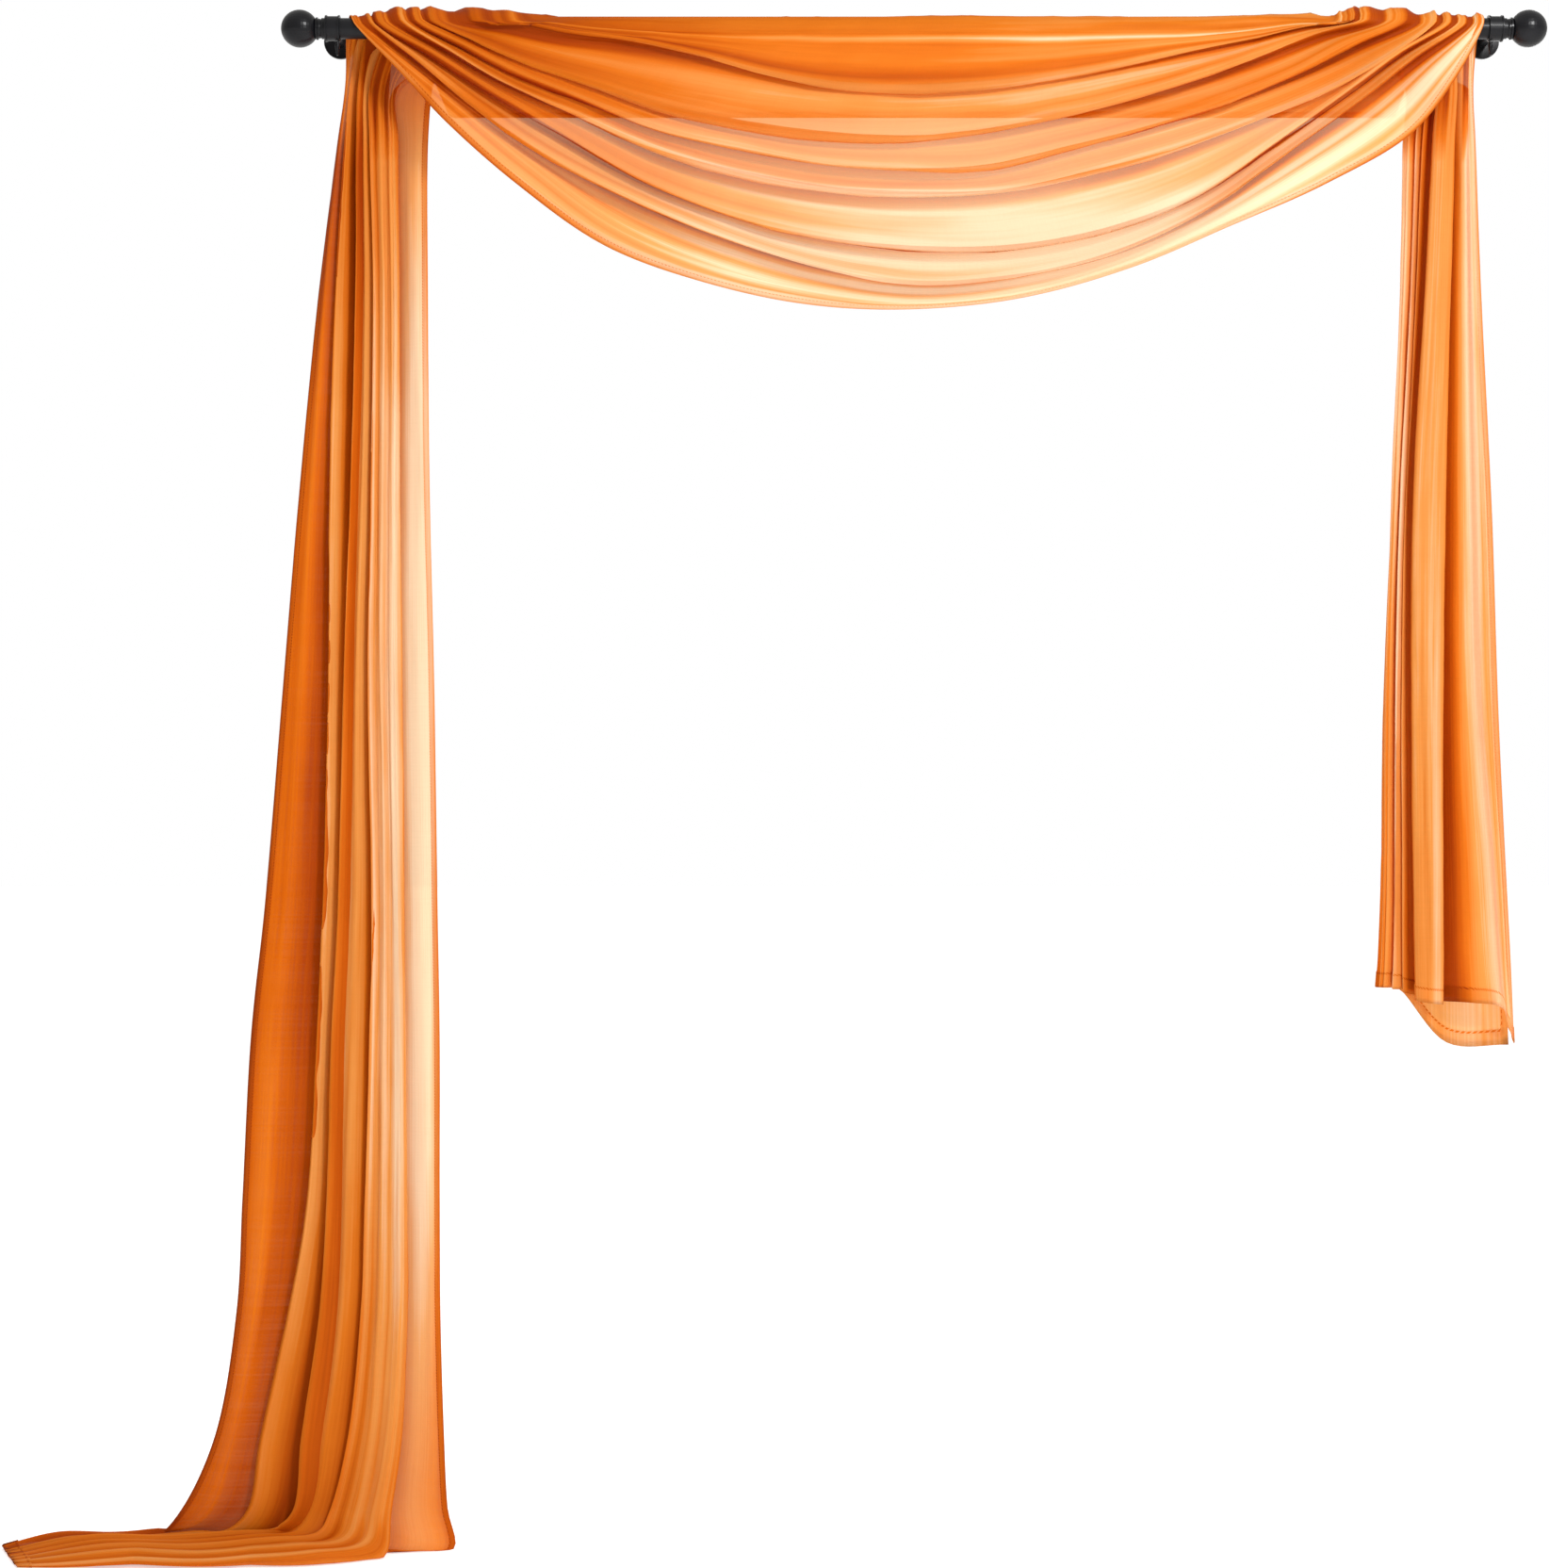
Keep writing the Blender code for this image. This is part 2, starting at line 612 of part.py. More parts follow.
def build_all():
    """Every sub-part in its place."""
    group = new_collection(NAME)
    joins = new_collection(NAME + "_joins")
    things = [add_scarf(group), add_rod(group)]
    for side, word in ((-1, "left"), (1, "right")):
        things.append(add_finial(group, side, word))
        things += add_bracket(group, joins, side, word)
        things.append(add_screw(group, side, word))
    centre_on_floor(things)


def centre_on_floor(things):
    """The whole object on an empty, moved so that the middle of its foot print is at the origin."""
    bpy.context.view_layer.update()
    graph = bpy.context.evaluated_depsgraph_get()
    corners = []
    for thing in things:
        solid = thing.evaluated_get(graph)
        corners += [(thing.matrix_world @ vert.co)[:] for vert in solid.data.vertices]
    low = np.min(corners, axis=0)
    high = np.max(corners, axis=0)
    base = bpy.data.objects.new(NAME + "_base", None)
    bpy.context.scene.collection.objects.link(base)
    base.location = (-0.5 * (low[0] + high[0]), -0.5 * (low[1] + high[1]), -low[2])
    for thing in things:
        thing.parent = base


clear_scene()
build_all()
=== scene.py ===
"""The looks of a sheer window scarf on its rod: one front swag, a long left tail and a short right one.

The scarf is one open sheet of voile, draped by a smooth surface through its folds, which run from the left
end on the floor, over the rod, round the swag and down the right tail. Metres, in the frame of the CAD.
"""

import math

import bpy
import bmesh
import numpy as np
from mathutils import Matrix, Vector


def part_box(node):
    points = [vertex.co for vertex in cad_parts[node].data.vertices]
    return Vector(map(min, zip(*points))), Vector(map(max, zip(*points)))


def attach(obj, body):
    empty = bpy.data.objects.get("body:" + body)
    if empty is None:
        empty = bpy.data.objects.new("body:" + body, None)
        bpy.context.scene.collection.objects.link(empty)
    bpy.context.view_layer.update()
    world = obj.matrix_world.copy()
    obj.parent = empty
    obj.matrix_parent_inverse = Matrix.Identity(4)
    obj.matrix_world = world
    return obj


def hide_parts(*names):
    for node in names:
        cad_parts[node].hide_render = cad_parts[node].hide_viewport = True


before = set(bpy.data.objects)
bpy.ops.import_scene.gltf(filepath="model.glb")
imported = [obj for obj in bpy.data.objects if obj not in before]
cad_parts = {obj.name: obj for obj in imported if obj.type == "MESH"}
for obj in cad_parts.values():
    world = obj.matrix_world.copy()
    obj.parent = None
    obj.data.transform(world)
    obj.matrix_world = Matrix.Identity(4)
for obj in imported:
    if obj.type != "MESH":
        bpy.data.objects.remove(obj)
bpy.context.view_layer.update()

# Rod, in the drape's own units: the height of its axis, which is at depth 0 with its middle at x 0, how
# near to the axis the cloth may come, how far from it the lowest fold lies, and how much lower a tuck lies
ROD_HEIGHT = 2.068
ROD_CLEAR = 0.0160
LEAST_REACH = 0.0172
TUCK_DROP = 0.004

# How finely the cloth is drawn: the step along it in metres, and the points from each fold to the next.
# A fold line's number counts from 0 at the lower hem to this last one at the back hem
ROWS_STEP = 0.0086
LAST_LINE = 18
COLUMNS = (8,) * LAST_LINE

# Hems: how far the long edges and the ends are turned back, how far behind they lie, their rows as shares
# of their depth, and the length of a stitch
SIDE_HEM = 0.009
END_HEM = 0.022
HEM_GAP = 0.0009
HEM_ROWS = (1.0, 0.7, 0.35, 0.06)
STITCH_LENGTH = 0.004

# The lowest that the cloth lies over the floor
FLOOR_GAP = 0.0012

# The camera, level and in front
CAMERA_DISTANCE = 4.6
CAMERA_HEIGHT = 1.046
VIEW_WIDTH = 2.096

# The height of the cloth's upper side over the rod's axis, along the rod: (x, height)
BUNCH = (
    (-0.770, 0.0172),
    (-0.739, 0.0190),
    (-0.700, 0.0300),
    (-0.573, 0.0270),
    (-0.522, 0.0186),
    (-0.488, 0.0170),
    (0.556, 0.0170),
    (0.594, 0.0320),
    (0.654, 0.0285),
    (0.735, 0.0200),
    (0.772, 0.0172),
)

# Lower edge and the fold edges above it, each from its left crossing of the rod to its right one.
# Columns: name, how far it stands forward at the middle, then (x, height) pairs.
SWAG = (
    ("hem", 0.024, (
        (-0.762, 2.084), (-0.723, 2.042), (-0.662, 1.966), (-0.589, 1.897), (-0.538, 1.855),
        (-0.488, 1.812), (-0.419, 1.770), (-0.345, 1.741), (-0.277, 1.717), (-0.210, 1.701),
        (-0.141, 1.688), (-0.005, 1.682), (0.056, 1.683), (0.131, 1.695), (0.188, 1.706),
        (0.244, 1.720), (0.339, 1.758), (0.436, 1.801), (0.532, 1.842), (0.580, 1.868),
        (0.674, 1.924), (0.700, 1.953), (0.739, 2.015), (0.763, 2.059), (0.768, 2.084),
    )),
    ("flap", 0.040, (
        (-0.758, 2.084), (-0.716, 2.037), (-0.662, 1.996), (-0.607, 1.952), (-0.556, 1.911),
        (-0.471, 1.843), (-0.403, 1.796), (-0.345, 1.762), (-0.210, 1.719), (-0.100, 1.698),
        (0.000, 1.690), (0.100, 1.698), (0.188, 1.713), (0.244, 1.728), (0.425, 1.807),
        (0.532, 1.867), (0.629, 1.930), (0.732, 2.036), (0.762, 2.084),
    )),
    ("first", 0.058, (
        (-0.739, 2.084), (-0.674, 2.023), (-0.573, 1.938), (-0.504, 1.892), (-0.437, 1.852),
        (-0.345, 1.812), (-0.244, 1.769), (-0.141, 1.735), (-0.022, 1.707), (0.080, 1.714),
        (0.188, 1.727), (0.218, 1.736), (0.315, 1.770), (0.425, 1.833), (0.532, 1.919),
        (0.629, 1.986), (0.740, 2.084),
    )),
    ("second", 0.056, (
        (-0.726, 2.084), (-0.641, 2.023), (-0.538, 1.956), (-0.437, 1.895), (-0.345, 1.836),
        (-0.230, 1.795), (-0.108, 1.765), (0.036, 1.751), (0.131, 1.756), (0.188, 1.762),
        (0.291, 1.789), (0.425, 1.852), (0.508, 1.924), (0.605, 1.991), (0.720, 2.084),
    )),
    ("third", 0.050, (
        (-0.695, 2.084), (-0.589, 2.003), (-0.504, 1.966), (-0.419, 1.925), (-0.345, 1.890),
        (-0.210, 1.850), (-0.074, 1.830), (-0.005, 1.828), (0.131, 1.836), (0.188, 1.850),
        (0.291, 1.871), (0.436, 1.925), (0.556, 1.977), (0.629, 2.015), (0.700, 2.084),
    )),
    ("fourth", 0.042, (
        (-0.676, 2.084), (-0.573, 2.018), (-0.403, 1.947), (-0.325, 1.914), (-0.141, 1.875),
        (-0.005, 1.864), (0.099, 1.866), (0.267, 1.910), (0.387, 1.948), (0.484, 1.986),
        (0.580, 2.036), (0.654, 2.084),
    )),
    ("fifth", 0.034, (
        (-0.655, 2.084), (-0.573, 2.033), (-0.403, 1.972), (-0.325, 1.942), (-0.200, 1.918),
        (-0.080, 1.905), (0.029, 1.907), (0.165, 1.932), (0.291, 1.965), (0.387, 1.996),
        (0.500, 2.040), (0.604, 2.084),
    )),
    ("sixth", 0.014, (
        (-0.600, 2.084), (-0.470, 2.058), (-0.345, 2.040), (-0.210, 2.000), (-0.108, 1.980),
        (0.000, 1.975), (0.120, 1.982), (0.250, 2.005), (0.380, 2.035), (0.500, 2.060),
        (0.590, 2.084),
    )),
    ("band", 0.000, (
        (-0.545, 2.084), (-0.470, 2.066), (-0.345, 2.056), (-0.200, 2.050), (0.000, 2.050),
        (0.200, 2.050), (0.400, 2.056), (0.500, 2.066), (0.574, 2.084),
    )),
)

# Share of the way to the fold above that each fold is tucked up behind its edge, at mid swag
TUCKS = (0.22, 0.18, 0.36, 0.26, 0.18, 0.20)

# Share of each fold's own length at which the swag is shaped
SWAG_SHARES = (0.06, 0.11, 0.18, 0.26, 0.34, 0.42, 0.5, 0.58, 0.66, 0.74, 0.82, 0.89, 0.945)

# Left tail. Columns: height, outer edge, three fold edges, the soft fold, inner edge
LEFT_TAIL = (
    (0.060, -0.996, -0.905, -0.842, -0.792, -0.715, -0.634),
    (0.160, -0.951, -0.887, -0.829, -0.767, -0.700, -0.639),
    (0.330, -0.922, -0.850, -0.805, -0.749, -0.690, -0.644),
    (0.480, -0.914, -0.825, -0.796, -0.744, -0.690, -0.645),
    (0.705, -0.902, -0.812, -0.790, -0.738, -0.692, -0.645),
    (0.885, -0.883, -0.804, -0.781, -0.735, -0.695, -0.648),
    (1.210, -0.856, -0.796, -0.773, -0.740, -0.699, -0.653),
    (1.430, -0.838, -0.794, -0.765, -0.737, -0.700, -0.658),
    (1.720, -0.810, -0.786, -0.757, -0.734, -0.700, -0.661),
    (1.920, -0.785, -0.774, -0.756, -0.738, -0.703, -0.661),
    (2.000, -0.774, -0.766, -0.753, -0.737, -0.700, -0.654),
)

# Right tail. Columns: height, outer edge, three fold edges, inner edge
RIGHT_TAIL = (
    (2.000, 0.765, 0.752, 0.740, 0.712, 0.672),
    (1.920, 0.768, 0.752, 0.736, 0.706, 0.670),
    (1.720, 0.775, 0.754, 0.730, 0.696, 0.665),
    (1.400, 0.790, 0.760, 0.722, 0.678, 0.652),
    (1.150, 0.798, 0.766, 0.719, 0.677, 0.643),
    (0.940, 0.808, 0.784, 0.719, 0.679, 0.640),
    (0.810, 0.815, 0.794, 0.719, 0.681, 0.636),
)

# The left end on the floor: the tip of its back edge, and how far each metre forward moves it to the right
TIP = (-1.246, 0.058)
TIP_SLANT = 0.40

# Where each fold of the cloth runs in the tails and on the floor.
# Columns: name, place across the left tail and depth there, place across the right tail and depth
# there, hem height on the right, depth on the floor, height on the floor
FOLDS = (
    ("hem", 0.00, 0.040, 0.00, 0.040, 0.694, 0.058, 0.012),
    ("flap", 0.52, 0.031, 0.40, 0.034, 0.712, 0.050, 0.026),
    ("tuck_1", 2.90, 0.076, 0.95, 0.026, 0.742, 0.030, 0.007),
    ("first", 1.00, 0.024, 1.55, 0.030, 0.750, 0.037, 0.023),
    ("tuck_2", 3.30, 0.064, 2.45, 0.058, 0.750, 0.008, 0.007),
    ("second", 2.00, 0.020, 2.00, 0.022, 0.748, 0.017, 0.030),
    ("tuck_3", 2.22, 0.033, 2.55, 0.018, 0.750, 0.006, 0.022),
    ("third", 2.52, 0.025, 3.00, 0.024, 0.753, -0.003, 0.027),
    ("tuck_4", 3.62, 0.051, 2.60, 0.060, 0.756, -0.024, 0.007),
    ("fourth", 3.00, 0.021, 3.30, 0.040, 0.764, -0.017, 0.026),
    ("tuck_5", 3.20, 0.026, 3.00, 0.058, 0.766, -0.028, 0.020),
    ("fifth", 3.42, 0.021, 3.60, 0.036, 0.768, -0.036, 0.022),
    ("tuck_6", 3.60, 0.025, 3.36, 0.056, 0.769, -0.044, 0.016),
    ("sixth", 3.78, 0.020, 3.84, 0.036, 0.770, -0.052, 0.015),
    ("band", 3.94, 0.020, 3.94, 0.040, 0.770, -0.061, 0.009),
    ("ridge", 4.06, 0.028, 4.00, 0.046, 0.770, -0.050, 0.004),
    ("nape", 3.74, 0.072, 3.30, 0.070, 0.766, -0.022, 0.004),
    ("drop", 4.46, 0.052, 1.80, 0.076, 0.692, 0.012, 0.004),
    ("back_hem", 5.00, 0.042, 0.12, 0.066, 0.690, 0.044, 0.004),
)

# The cloth over the rod's top and behind it. Columns: name, left end, right end
BEHIND = (
    ("ridge", -0.500, 0.566),
    ("nape", -0.545, 0.600),
    ("drop", -0.600, 0.640),
    ("back_hem", -0.640, 0.664),
)


def spline(points, counts):
    """A smooth run through points, an array (n, ..., 3), with counts[i] steps from point i to the next."""
    before = 2.0 * points[0] - points[1]
    after = 2.0 * points[-1] - points[-2]
    full = np.concatenate([before[None], points, after[None]])
    out = []
    for i, count in enumerate(counts):
        quad = full[i:i + 4]
        knots = [np.zeros(quad.shape[1:-1] + (1,))]
        for j in range(3):
            chord = np.linalg.norm(quad[j + 1] - quad[j], axis=-1, keepdims=True)
            knots.append(knots[-1] + np.sqrt(np.maximum(chord, 1e-6)))
        for step in range(count):
            out.append(between(quad, knots, step / count))
    out.append(points[-1])
    return np.array(out)


def between(quad, knots, share):
    """The point at a share of the way from the second to the third of four."""
    a, b, c, d = knots
    t = b + (c - b) * share
    one = ((b - t) * quad[0] + (t - a) * quad[1]) / (b - a)
    two = ((c - t) * quad[1] + (t - b) * quad[2]) / (c - b)
    three = ((d - t) * quad[2] + (t - c) * quad[3]) / (d - c)
    four = ((c - t) * one + (t - a) * two) / (c - a)
    five = ((d - t) * two + (t - b) * three) / (d - b)
    return ((c - t) * four + (t - b) * five) / (c - b)


def bunch_at(x):
    """Height of the cloth over the rod's axis at a place along the rod."""
    places = [row[0] for row in BUNCH]
    heights = [row[1] for row in BUNCH]
    return float(np.interp(x, places, heights))


def at_shares(pairs, shares):
    """Points of a line in x and height at shares of its length."""
    line = np.array(pairs)
    steps = np.linalg.norm(np.diff(line, axis=0), axis=1)
    along = np.concatenate([[0.0], np.cumsum(steps)]) / steps.sum()
    return np.column_stack([np.interp(shares, along, line[:, 0]), np.interp(shares, along, line[:, 1])])


def front_depth(height, reach):
    """Depth of cloth lying against the rod's front, or hanging straight below it."""
    over = height - ROD_HEIGHT
    if over <= 0.0:
        return -reach
    return -math.sqrt(max(reach * reach - over * over, 0.0))


def swag_line(forward, pairs):
    """One fold edge over the front, from the rod's left crossing to the right one."""
    flat = at_shares(pairs, SWAG_SHARES)
    line = []
    for share, (x, height) in zip(SWAG_SHARES, flat):
        reach = max(bunch_at(x), LEAST_REACH)
        swell = math.sin(math.pi * share) ** 0.8
        line.append((x, front_depth(height, reach) - forward * swell, height))
    return np.array(line)


def swag_lines():
    """All the fold edges over the front, from the lower hem up, with the tucks between them."""
    edges = [swag_line(forward, pairs) for _, forward, pairs in SWAG]
    lines = edges[:2]
    near_ends = 1.0 - np.sin(np.pi * np.array(SWAG_SHARES)) ** 0.45
    for i, tuck in enumerate(TUCKS):
        below = edges[i + 1]
        edge = edges[i + 2]
        above = edges[i + 3]
        hollow = edge + (below - edge) * (0.55 * near_ends)[:, None]
        hollow += (above - edge) * (tuck * (1.0 - near_ends))[:, None]
        room = 0.026 * (1.0 - near_ends) * (SWAG[i + 2][1] / 0.058) ** 0.5
        hollow[:, 1] = np.minimum(hollow[:, 1] + 0.006 + room, -0.0178)
        lines += [hollow, edge]
    lines.append(edges[-1])
    return lines


def crossings(side):
    """Where each fold crosses the rod's top, from the lower hem up."""
    pick = 0 if side < 0 else -1
    edges = [pairs[pick][0] for _, _, pairs in SWAG]
    places = edges[:2]
    for i in range(len(TUCKS)):
        places += [0.5 * (edges[i + 1] + edges[i + 2]), edges[i + 2]]
    places.append(edges[-1])
    return places


def wrap(x, drift, slant, reach):
    """Cloth going from behind the rod over its top to its front: five points."""
    out = []
    for turn, behind, before in ((178.0, 1.0, 0.0), (135.0, 0.55, 0.0), (90.0, 0.1, 0.0), (50.0, 0.0, 0.45),
                                 (12.0, 0.0, 1.2)):
        angle = math.radians(turn)
        place = x - slant * behind + drift * before
        out.append((place, -reach * math.cos(angle), ROD_HEIGHT + reach * math.sin(angle)))
    return np.array(out)


def wraps(side):
    """The points over the rod of every fold that crosses it, slanting towards the tail behind."""
    out = []
    for i, x in enumerate(crossings(side)):
        is_tuck = 2 <= i <= 12 and i % 2 == 0
        reach = max(bunch_at(x) - TUCK_DROP * is_tuck, LEAST_REACH)
        if side < 0:
            slant = x - tail_x(LEFT_TAIL[-1], FOLDS[i][1])
            out.append(wrap(x, 0.006, slant * 0.62, reach))
        else:
            slant = x - tail_x(RIGHT_TAIL[0], FOLDS[i][3])
            out.append(wrap(x, -0.001, slant * 0.62, reach))
    return out


def back_line(index):
    """One of the lines over the rod's top and behind it: wrap, middle and wrap again."""
    _, left, right = BEHIND[index]
    mid_left = left + 0.03
    mid_right = right - 0.03
    xs = np.concatenate([
        np.linspace(left - 0.012, left + 0.016, 5),
        np.interp(SWAG_SHARES, (SWAG_SHARES[0], SWAG_SHARES[-1]), (mid_left, mid_right)),
        np.linspace(right - 0.016, right + 0.012, 5),
    ])
    share = np.linspace(0.0, 1.0, len(xs))
    ends = np.clip(1.0 - np.sin(np.pi * share) * 2.2, 0.0, 1.0)
    line = []
    for x, end in zip(xs, ends):
        reach = bunch_at(x)
        if index == 0:
            angle = math.radians(90.0 + 88.0 * end)
            line.append((x, -reach * math.cos(angle), ROD_HEIGHT + reach * math.sin(angle)))
        elif index == 1:
            line.append((x, max(reach, 0.0175), ROD_HEIGHT - 0.012 - 0.012 * end))
        elif index == 2:
            line.append((x, 0.0215 + 0.018 * end, 1.996 + 0.020 * end))
        else:
            line.append((x, 0.0240 + 0.022 * end, 1.952 + 0.052 * end))
    return np.array(line)


def tail_x(row, place):
    """Place along X of a fold at one height of a tail."""
    edges = row[1:]
    return float(np.interp(place, range(len(edges)), edges))


def left_tail(fold):
    """A fold down the left tail, from low to high."""
    return np.array([(tail_x(row, fold[1]), fold[2], row[0]) for row in LEFT_TAIL])


def right_tail(fold):
    """A fold down the right tail, from high to its hem."""
    line = [(tail_x(row, fold[3]), fold[4], row[0]) for row in RIGHT_TAIL]
    last = line[-1]
    line.append((last[0] + (last[0] - line[-2][0]) * 0.7, last[1], fold[5]))
    return np.array(line)


def floor_run(fold):
    """A fold lying on the floor, from its left end to where it rises."""
    place, hang = fold[1:3]
    depth, height = fold[6:]
    end = TIP[0] + TIP_SLANT * (TIP[1] - depth)
    rise = tail_x(LEFT_TAIL[0], place)
    touch = rise - 0.035 * (1.0 - place / 5.0)
    lies_under = height < 0.006
    if place > 4.2:
        touch = rise + 0.008
    line = []
    for share in (0.0, 0.3, 0.6, 0.85, 1.0):
        x = end + (touch - end) * share
        turn = max(share - 0.6, 0.0) / 0.4
        y = depth + (hang - depth) * turn * turn * 0.65
        z = height + (0.0 if lies_under else 0.010 * turn)
        line.append((x, y, 0.003 + (z - 0.003) * min(0.1 + share * 3.0, 1.0)))
    return np.array(line)


def fold_net():
    """Every fold as a row of points from the left end of the cloth to the right one."""
    front = swag_lines()
    left_wraps = wraps(-1)
    right_wraps = wraps(1)
    rows = []
    for i, fold in enumerate(FOLDS):
        if i < len(front):
            middle = np.concatenate([left_wraps[i], front[i], right_wraps[i][::-1]])
        else:
            middle = back_line(i - len(front))
        rows.append(np.concatenate([floor_run(fold), left_tail(fold), middle, right_tail(fold)]))
    return np.array(rows)


def cloth_points(step, columns):
    """Points of the cloth's middle surface, rows along its length and columns across it."""
    net = fold_net().transpose(1, 0, 2)
    chords = np.linalg.norm(np.diff(net, axis=0), axis=2).mean(axis=1)
    counts = [max(1, int(round(chord / step))) for chord in chords]
    along = spline(net, counts)
    across = spline(along.transpose(1, 0, 2), columns)
    return clear_of_rod(across.transpose(1, 0, 2))


def clear_of_rod(points):
    """Points that lie too near the rod's axis, moved straight out from it."""
    away = points[:, :, 1:] - np.array([0.0, ROD_HEIGHT])
    reach = np.linalg.norm(away, axis=2, keepdims=True)
    grow = np.maximum(ROD_CLEAR / np.maximum(reach, 1e-9), 1.0)
    out = points.copy()
    out[:, :, 1:] = np.array([0.0, ROD_HEIGHT]) + away * grow
    return out


def offsets(points):
    """For every point, the way off the surface, averaged over the strips on its two sides."""
    along = np.gradient(points, axis=0)
    steps = np.diff(points, axis=1)
    first = np.cross(along[:, 1:], steps)
    second = np.cross(along[:, :-1], steps)
    first /= np.maximum(np.linalg.norm(first, axis=2, keepdims=True), 1e-12)
    second /= np.maximum(np.linalg.norm(second, axis=2, keepdims=True), 1e-12)
    before = np.concatenate([second[:, :1], first], axis=1)
    after = np.concatenate([second, first[:, -1:]], axis=1)
    both = before + after
    size = np.maximum((both * both).sum(axis=2, keepdims=True), 0.3)
    return 2.0 * both / size


def unit_normals(points):
    """The way off the surface at every point, one metre long."""
    normals = offsets(points)
    return normals / np.maximum(np.linalg.norm(normals, axis=2, keepdims=True), 1e-9)


def ramp(value, low, high):
    """0 up to the low value, 1 from the high one, and straight between them."""
    return np.clip((value - low) / (high - low), 0.0, 1.0)


def glow(value, middle, width):
    """A soft bump, 1 at its middle."""
    return np.exp(-((value - middle) / width) ** 2)


def fold_lines(columns):
    """The number of the fold line at each column of the grid."""
    return np.linspace(0.0, LAST_LINE, columns)[None, :]


# ---------------------------------------------------------------- creases

# Soft creases. Columns: seed, cells along the cloth, cells across it, height in metres
SOFT_CREASES = (
    (3, 14, 34, 0.0026),
    (11, 22, 66, 0.0018),
    (5, 80, 90, 0.0008),
    (7, 320, 40, 0.00035),
)

# Sharp creases. Columns: seed, cells along, cells across, sharpness, height, further height in the swag
SHARP_CREASES = (
    (23, 16, 40, 2.2, 0.0012, 0.0024),
    (29, 44, 52, 2.4, 0.0, 0.0016),
)

# Low lobes along the front of the pile on the floor: where they start, their length and their depth
LOBE_START = -1.20
LOBE_LENGTH = 0.155
LOBE_DEPTH = 0.011


def smooth_noise(seed, rows, columns, cells_along, cells_across):
    """Smooth values between -1 and 1 on a grid of rows and columns, with about so many cells each way."""
    random = np.random.default_rng(seed)
    grid = random.uniform(-1.0, 1.0, (cells_along + 3, cells_across + 3))
    u = np.linspace(0.0, cells_along, rows)
    v = np.linspace(0.0, cells_across, columns)
    return blend_rows(blend_rows(grid, u).T, v).T


def blend_rows(grid, places):
    """Rows of a grid at places between them, by cubic weights."""
    base = np.minimum(places.astype(int), grid.shape[0] - 4)
    t = (places - base)[:, None]
    a, b, c, d = (grid[base + k] for k in range(4))
    return (
        a * (1.0 - t) ** 3 + b * (3.0 * t ** 3 - 6.0 * t ** 2 + 4.0)
        + c * (-3.0 * t ** 3 + 3.0 * t ** 2 + 3.0 * t + 1.0) + d * t ** 3
    ) / 6.0


def creased(points):
    """The drape with the fine creases that run along its folds, sharper in the swag."""
    rows, columns = points.shape[:2]
    line = fold_lines(columns)
    x, y, z = np.moveaxis(points, 2, 0)
    in_swag = (1.0 - ramp(np.abs(x), 0.58, 0.68)) * ramp(z, 1.60, 1.65) * (y < 0.0)
    height = np.zeros((rows, columns))
    for seed, along, across, size in SOFT_CREASES:
        height += size * smooth_noise(seed, rows, columns, along, across)
    for seed, along, across, sharpness, size, more in SHARP_CREASES:
        noise = smooth_noise(seed, rows, columns, along, across)
        height += (size + more * in_swag) * (1.0 - sharpness * np.sqrt(np.abs(noise)))
    height *= ramp(line, -0.35, 0.65) * (1.0 - ramp(line, LAST_LINE - 0.65, LAST_LINE + 0.35))
    return lobed(clear_of_rod(points + unit_normals(points) * height[:, :, None]), line)


def lobed(points, line):
    """The drape with the front of its pile on the floor pushed out in lobes."""
    x, z = points[:, :, 0], points[:, :, 2]
    lobes = np.abs(np.sin(math.pi * (x - LOBE_START) / LOBE_LENGTH)) * (1.0 - ramp(z, 0.03, 0.06))
    points[:, :, 1] -= LOBE_DEPTH * lobes * ramp(line, 8.0, 12.0) * (1.0 - ramp(line, 15.0, 17.0))
    return points


def with_hems(points):
    """The grid with its edges turned back behind it: both long edges, then both ends."""
    sides = turned_back(points.transpose(1, 0, 2), SIDE_HEM).transpose(1, 0, 2)
    return turned_back(sides, END_HEM)


def turned_back(points, depth):
    """A grid whose first and last rows are turned back by a depth."""
    normals = unit_normals(points)
    first = turned_rows(points[0], points[1], normals[0], depth)
    last = turned_rows(points[-1], points[-2], normals[-1], depth)
    return np.concatenate([first, points, last[::-1]])


def turned_rows(edge, inner, normal, depth):
    """The rows of one turned-back hem, from its raw edge to the fold."""
    way = inner - edge
    way /= np.maximum(np.linalg.norm(way, axis=1, keepdims=True), 1e-9)
    behind = normal * np.sign(normal[:, 1:2] + 1e-9) * HEM_GAP
    return np.array([edge + way * depth * share + behind for share in HEM_ROWS])


# ---------------------------------------------------------------- tones

